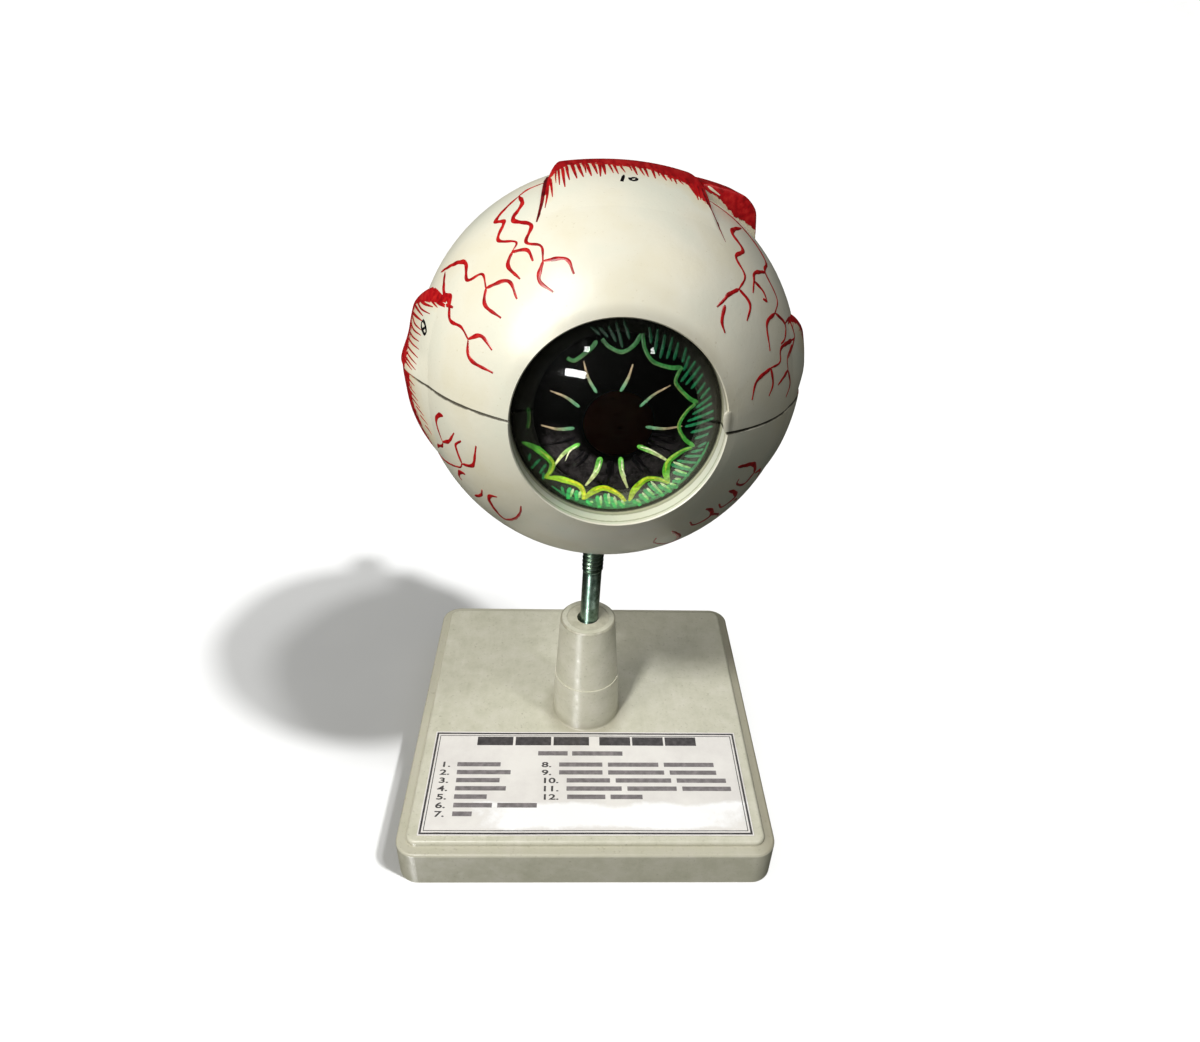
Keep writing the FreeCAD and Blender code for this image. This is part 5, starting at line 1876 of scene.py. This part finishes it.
@dataclass
class InnerLayers:
    """The painted layers inside the globe, the ring round the lens, and the retina's vessels."""

    eye: EyeAxes
    depth: float = 0.16
    disc: Pair = (-15, -9.5)
    arcades: Rows = (  # turns and rises of the knots, degrees from the back pole
        (-15, 1, -8, 14, 6, 22, 24, 24, 40, 18), (-16, 1.5, -24, 14, -38, 24, -52, 28),
        (-14, 2.5, -18, 22, -14, 38, -4, 52), (-8, 14, -2, 30, 12, 44, 30, 50), (6, 22, 14, 30, 26, 36),
        (-15, -16, -8, -30, 6, -38, 24, -38, 40, -30), (-16, -16, -26, -28, -40, -36, -54, -36),
        (-14, -17, -18, -34, -12, -50, 0, -60), (-8, -30, 2, -44, 16, -54), (-26, -28, -30, -44, -26, -58),
        (-9, -9, 0, -12, 10, -14), (-21, -10, -34, -11, -50, -8))

    def dress(self, nodes: dict[str, Object]) -> None:
        """Finish the layers' nodes."""
        dress_nodes(nodes, {"choroid_upper": CHOROID_PAINT, "choroid_lower": CHOROID_PAINT,
            "retina_upper": RETINA_PAINT, "retina_lower": RETINA_PAINT, "ciliary_ring_upper": RING_PLASTIC,
            "ciliary_ring_lower": RING_PLASTIC, "yellow_spot": SPOT_PAINT, "nerve_core": NERVE_FIBRE,
            "locating_pegs": SCREW_STEEL})

    def build(self) -> None:
        """Paint the retina's vessels: lines on the inner ball that spread from the nerve's disc."""
        halves: dict[bool, list[Surface]] = {True: [], False: []}
        for flat in self.arcades:
            turn, rise = np.radians(pairs(flat)).T
            route = smooth_route(self.eye.world(direction(turn, rise) * RETINA_R), 0.8)
            normal = unit(GLOBE_CENTRE - route)
            route = GLOBE_CENTRE - normal * RETINA_R
            widths = np.linspace(1.3, 0.4, len(route))
            halves[bool(flat[1] > 0)].append(brush_line(route, normal, widths, self.depth, 6))
        add_piece("retina_vessels_upper", halves[True], CRIMSON, Body.UPPER)
        add_piece("retina_vessels_lower", halves[False], CRIMSON, Body.LOWER)


@dataclass
class Globe:
    """The outer shell's halves and what sits in its front recess, with a dab of cream filler on the seam."""

    eye: EyeAxes
    viewpoint: Viewpoint
    filler_route: Pixels = (727.4, 411.5, 727.6, 418, 727.2, 425, 727.4, 431)
    filler_width: float = 3.1
    filler_high: float = 0.9

    def dress(self, nodes: dict[str, Object]) -> None:
        """Finish the shell, the black iris plate, the cornea and the lens."""
        up, out = tuple(self.eye.up), tuple(-self.eye.back)
        enamel = CreamEnamel(up=up, out=out)
        dress_nodes(nodes, {"sclera_upper": enamel, "sclera_lower": enamel,
            "iris": IrisLacquer(out=out, up=up), "cornea": ClearAcrylic(),
            "lens": ClearAcrylic("clear_acrylic_lens", "f2f5ea", 0.03)})
        route = smooth_route(self.viewpoint.onto_ball(pairs(self.filler_route), GLOBE_CENTRE, GLOBE_R), 0.4)
        widths = self.filler_width * stroke_widths(len(route), 0.8, 1, 0.7)
        dab = brush_line(route, route - GLOBE_CENTRE, widths, self.filler_high)
        add_piece("seam_filler_dab", dab, enamel, Body.UPPER)


# ---- studio
class Lit(Enum):
    """What a lamp lights; flags keep it off the rest."""

    EYE = "eye"
    STAND = "stand"
    PAINTING = "painting"
    DOME = "dome"
    ROUND = "post and rod"
    INSIDE = "inside"
    FLOOR = "floor"


@dataclass(frozen=True)
class Lamp:
    """A soft box: where it stands as seen from the model, its size, its power and what it lights."""

    name: str
    turn: float  # degrees to the right of straight in front
    rise: float  # degrees over the horizon
    power: float
    lit: Lit
    colour: str = "ffffff"
    size: Pair = (330, 330)
    reach: float = 850
    aim: Triple = (0, 0, 130)

    def way(self) -> Array:
        """Direction from the model to the lamp."""
        return direction(*np.radians([self.turn, self.rise])) * (1, -1, 1)


@dataclass(frozen=True)
class Sun:
    """A far lamp for the sweep alone: its direction, the white that it gives the sweep and how wide it is."""

    name: str
    way: Triple
    white: float
    spread: float  # degrees


@dataclass
class Studio:
    """White sweep, soft boxes mostly from the left and a dim surround. The sweep has its own lamps, so that
    it stays white and carries a soft double shadow."""

    floor_half: float = 9000
    floor_white: float = 0.9
    lamps: tuple[Lamp, ...] = (
        Lamp("eye_low", -51, 35, 4.5, Lit.EYE, "fdf8e8"),
        Lamp("eye_high", -45, 58, 2.8, Lit.EYE),
        Lamp("eye_side", 78, 62, 0.95, Lit.EYE, "fffbf2"),
        Lamp("inside_top", -20, 72, 6.5, Lit.INSIDE, "fdf8e8"),
        Lamp("painting_front", 0, 38, 3.7, Lit.PAINTING),
        Lamp("stand_low", -52, 30, 1.9, Lit.STAND, "fff9ee"),
        Lamp("stand_left", -31, 52, 6.05, Lit.STAND, size=(90, 90)),
        Lamp("stand_right", 53, 50, 1.8, Lit.STAND, size=(90, 90)),
        Lamp("stand_back", 168, 48, 0.7, Lit.STAND),
        Lamp("post_stripe", -33, -36, 3, Lit.ROUND, size=(24, 420), aim=(0, 16, 60)),
        Lamp("dome_panel", -23.8, 19.6, 1.6, Lit.DOME, size=(230, 75), reach=900, aim=(-5.9, -49.3, 191.8)),
        Lamp("dome_glint_left", -18.3, 35.6, 0.2, Lit.DOME, size=(55, 60), reach=900, aim=(0, -40, 205)),
        Lamp("dome_glint_right", 33.4, 32.5, 0.12, Lit.DOME, size=(40, 60), reach=900, aim=(20, -40, 205)))
    suns: tuple[Sun, ...] = (
        Sun("floor_sun_outer", (0.53, -0.27, 0.80), 0.49, 4),
        Sun("floor_sun_inner", (0.43, -0.23, 0.87), 0.19, 5),
        Sun("floor_sun_top", (0, -0.02, 1), 0.33, 100))
    surround: str = "f4f6e6"
    surround_strength: float = 0.1
    mirrored_strength: float = 0.01

    def place(self, name: str, light: bpy.types.Light, way: Array, at: Array) -> Object:
        """Put a light in its place.

        Args:
            name: its object's name.
            light: the light.
            way: direction from what it shines at to it.
            at: its place.

        Returns:
            The light's object, hidden from the camera.
        """
        right = unit(np.cross([0, 0, 1], way))
        made = placed(name, light, (right, np.cross(way, right), way), at)
        made.visible_camera = False
        return made

    def hang(self, lamp: Lamp) -> Object:
        """Make one soft box."""
        light = bpy.data.lights.new(lamp.name, "AREA")
        light.shape = "RECTANGLE"
        light.size, light.size_y = (side * MM for side in lamp.size)
        light.energy = lamp.power
        light.color = linear(lamp.colour)[:3]
        made = self.place(lamp.name, light, lamp.way(), np.array(lamp.aim) + lamp.way() * lamp.reach)
        made.visible_diffuse = lamp.lit is not Lit.ROUND
        made.visible_transmission = lamp.lit is not Lit.DOME
        return made

    def shine(self, sun: Sun) -> Object:
        """Make one far lamp, as strong as its share of the sweep's white asks for."""
        light = bpy.data.lights.new(sun.name, "SUN")
        way = unit(np.array(sun.way))
        light.angle = math.radians(sun.spread)
        light.energy = math.pi * sun.white / (self.floor_white * way[2])
        return self.place(sun.name, light, way, way * 1000)

    def lay_floor(self) -> Object:
        """The sweep: level round the stand and rising far behind it and to its sides.

        Height = 0 within 2.5 m, then the square of the distance past that.
        """
        reach = np.r_[0, np.geomspace(60, self.floor_half, 48)]
        turn = full_turn(96)
        past = np.maximum(reach - 2500, 0)
        x, y = reach[1:, None] * np.cos(turn), reach[1:, None] * np.sin(turn)
        z = np.repeat((past[1:, None] ** 2 / 9000), len(turn), axis=1)
        rings = stacked(x, y, z)
        index, ahead = ring_grid(*rings.shape[:2])
        quads = stacked(index[:-1], index[1:], ahead[1:], ahead[:-1]).reshape(-1, 4)
        middle = np.full(len(turn), index.size)
        fan = stacked(middle, index[0], ahead[0])
        floor = make_object("floor_sweep", Surface(np.vstack([rings.reshape(-1, 3), [0, 0, 0]]), quads, fan))
        floor.data.materials.append(SweptFloor().material())
        floor.visible_diffuse = floor.visible_glossy = floor.visible_transmission = False
        return floor

    def light_surround(self) -> None:
        """Even dim light from all round, dimmer still in mirrors, and white where it is looked at, clear
        pieces in between or not."""
        world = bpy.data.worlds.new("surround")
        bpy.context.scene.world = world
        world.use_nodes = True
        world.node_tree.nodes.clear()
        add = partial(add_node, world.node_tree)
        path = add("LightPath", out="Diffuse Depth")
        dim = add("Background", linear(self.surround), self.surround_strength)
        mirrored = add("Background", linear(self.surround), self.mirrored_strength)
        white = add("Background", linear("ffffff"), 1)
        mixed = add("MixShader", path, mirrored, dim)
        turned = add("Math.ADD", path, path.node.outputs["Glossy Depth"], use_clamp=True)
        mixed = add("MixShader", turned, white, mixed)
        add("OutputWorld", Surface=mixed)

    def sort_out(self, floor: Object, stand: set[str]) -> dict[Lit, bpy.types.Collection]:
        """Collections of what each kind of lamp lights.

        Args:
            floor: the sweep.
            stand: names of the stand's pieces.

        Returns:
            One collection for each kind.
        """
        groups = {lit: bpy.data.collections.new("lit_" + lit.value) for lit in Lit}
        for made in bpy.context.scene.objects:
            if made.type != "MESH":
                continue
            if made is floor:
                wanted = (Lit.FLOOR,)
            elif made.name in ("cornea", "lens"):
                wanted = (Lit.DOME,) if made.name == "cornea" else ()
            elif made.name in stand:
                wanted = (Lit.STAND,)
            elif made.name in ("iris_strokes", "iris_arches"):
                wanted = (Lit.EYE, Lit.PAINTING)
            elif made.name.startswith(("retina", "choroid", "yellow_spot")):
                wanted = (Lit.INSIDE,)
            else:
                wanted = (Lit.EYE,)
            if made.name in ("post_sleeve", "base_shell", "support_rod_threaded"):
                wanted += (Lit.ROUND,)
            for lit in wanted:
                groups[lit].objects.link(made)
        return groups

    def build(self, stand: set[str]) -> None:
        """Set up the floor, the lamps and the surround; stand holds the names of the stand's pieces."""
        groups = self.sort_out(self.lay_floor(), stand)
        for lamp in self.lamps:
            hung = self.hang(lamp)
            hung.light_linking.receiver_collection = groups[lamp.lit]
            if lamp.lit is Lit.ROUND:
                hung.light_linking.blocker_collection = groups[Lit.DOME]
        for sun in self.suns:
            self.shine(sun).light_linking.receiver_collection = groups[Lit.FLOOR]
        self.light_surround()
        bpy.context.scene.view_settings.view_transform = "Standard"


def main() -> None:
    """Load the frame, make and dress every sub-assembly, then set up the camera and the studio."""
    logging.basicConfig(level=logging.INFO, format="%(name)s: %(message)s")
    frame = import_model()
    nodes = frame["nodes"]
    eye = EyeAxes.from_joints(frame["joints"])
    viewpoint = Viewpoint()
    viewpoint.build()

    Stand().dress(nodes)
    KeyCard().build()
    rod = SupportRod()
    rod.build()
    rod.dress(nodes)
    Globe(eye, viewpoint).dress(nodes)
    PaintedVessels(eye, viewpoint).build()
    Muscles(eye, viewpoint).build()
    IrisPainting(eye).build()
    Nerve(eye).build()
    layers = InnerLayers(eye)
    layers.dress(nodes)
    layers.build()
    Studio().build({"base_shell", "base_cover", "cover_screws", "post_sleeve", "post_bush", "card_sheet",
        "card_title_and_numbers", "card_words"})


if __name__ == "__main__":
    main()
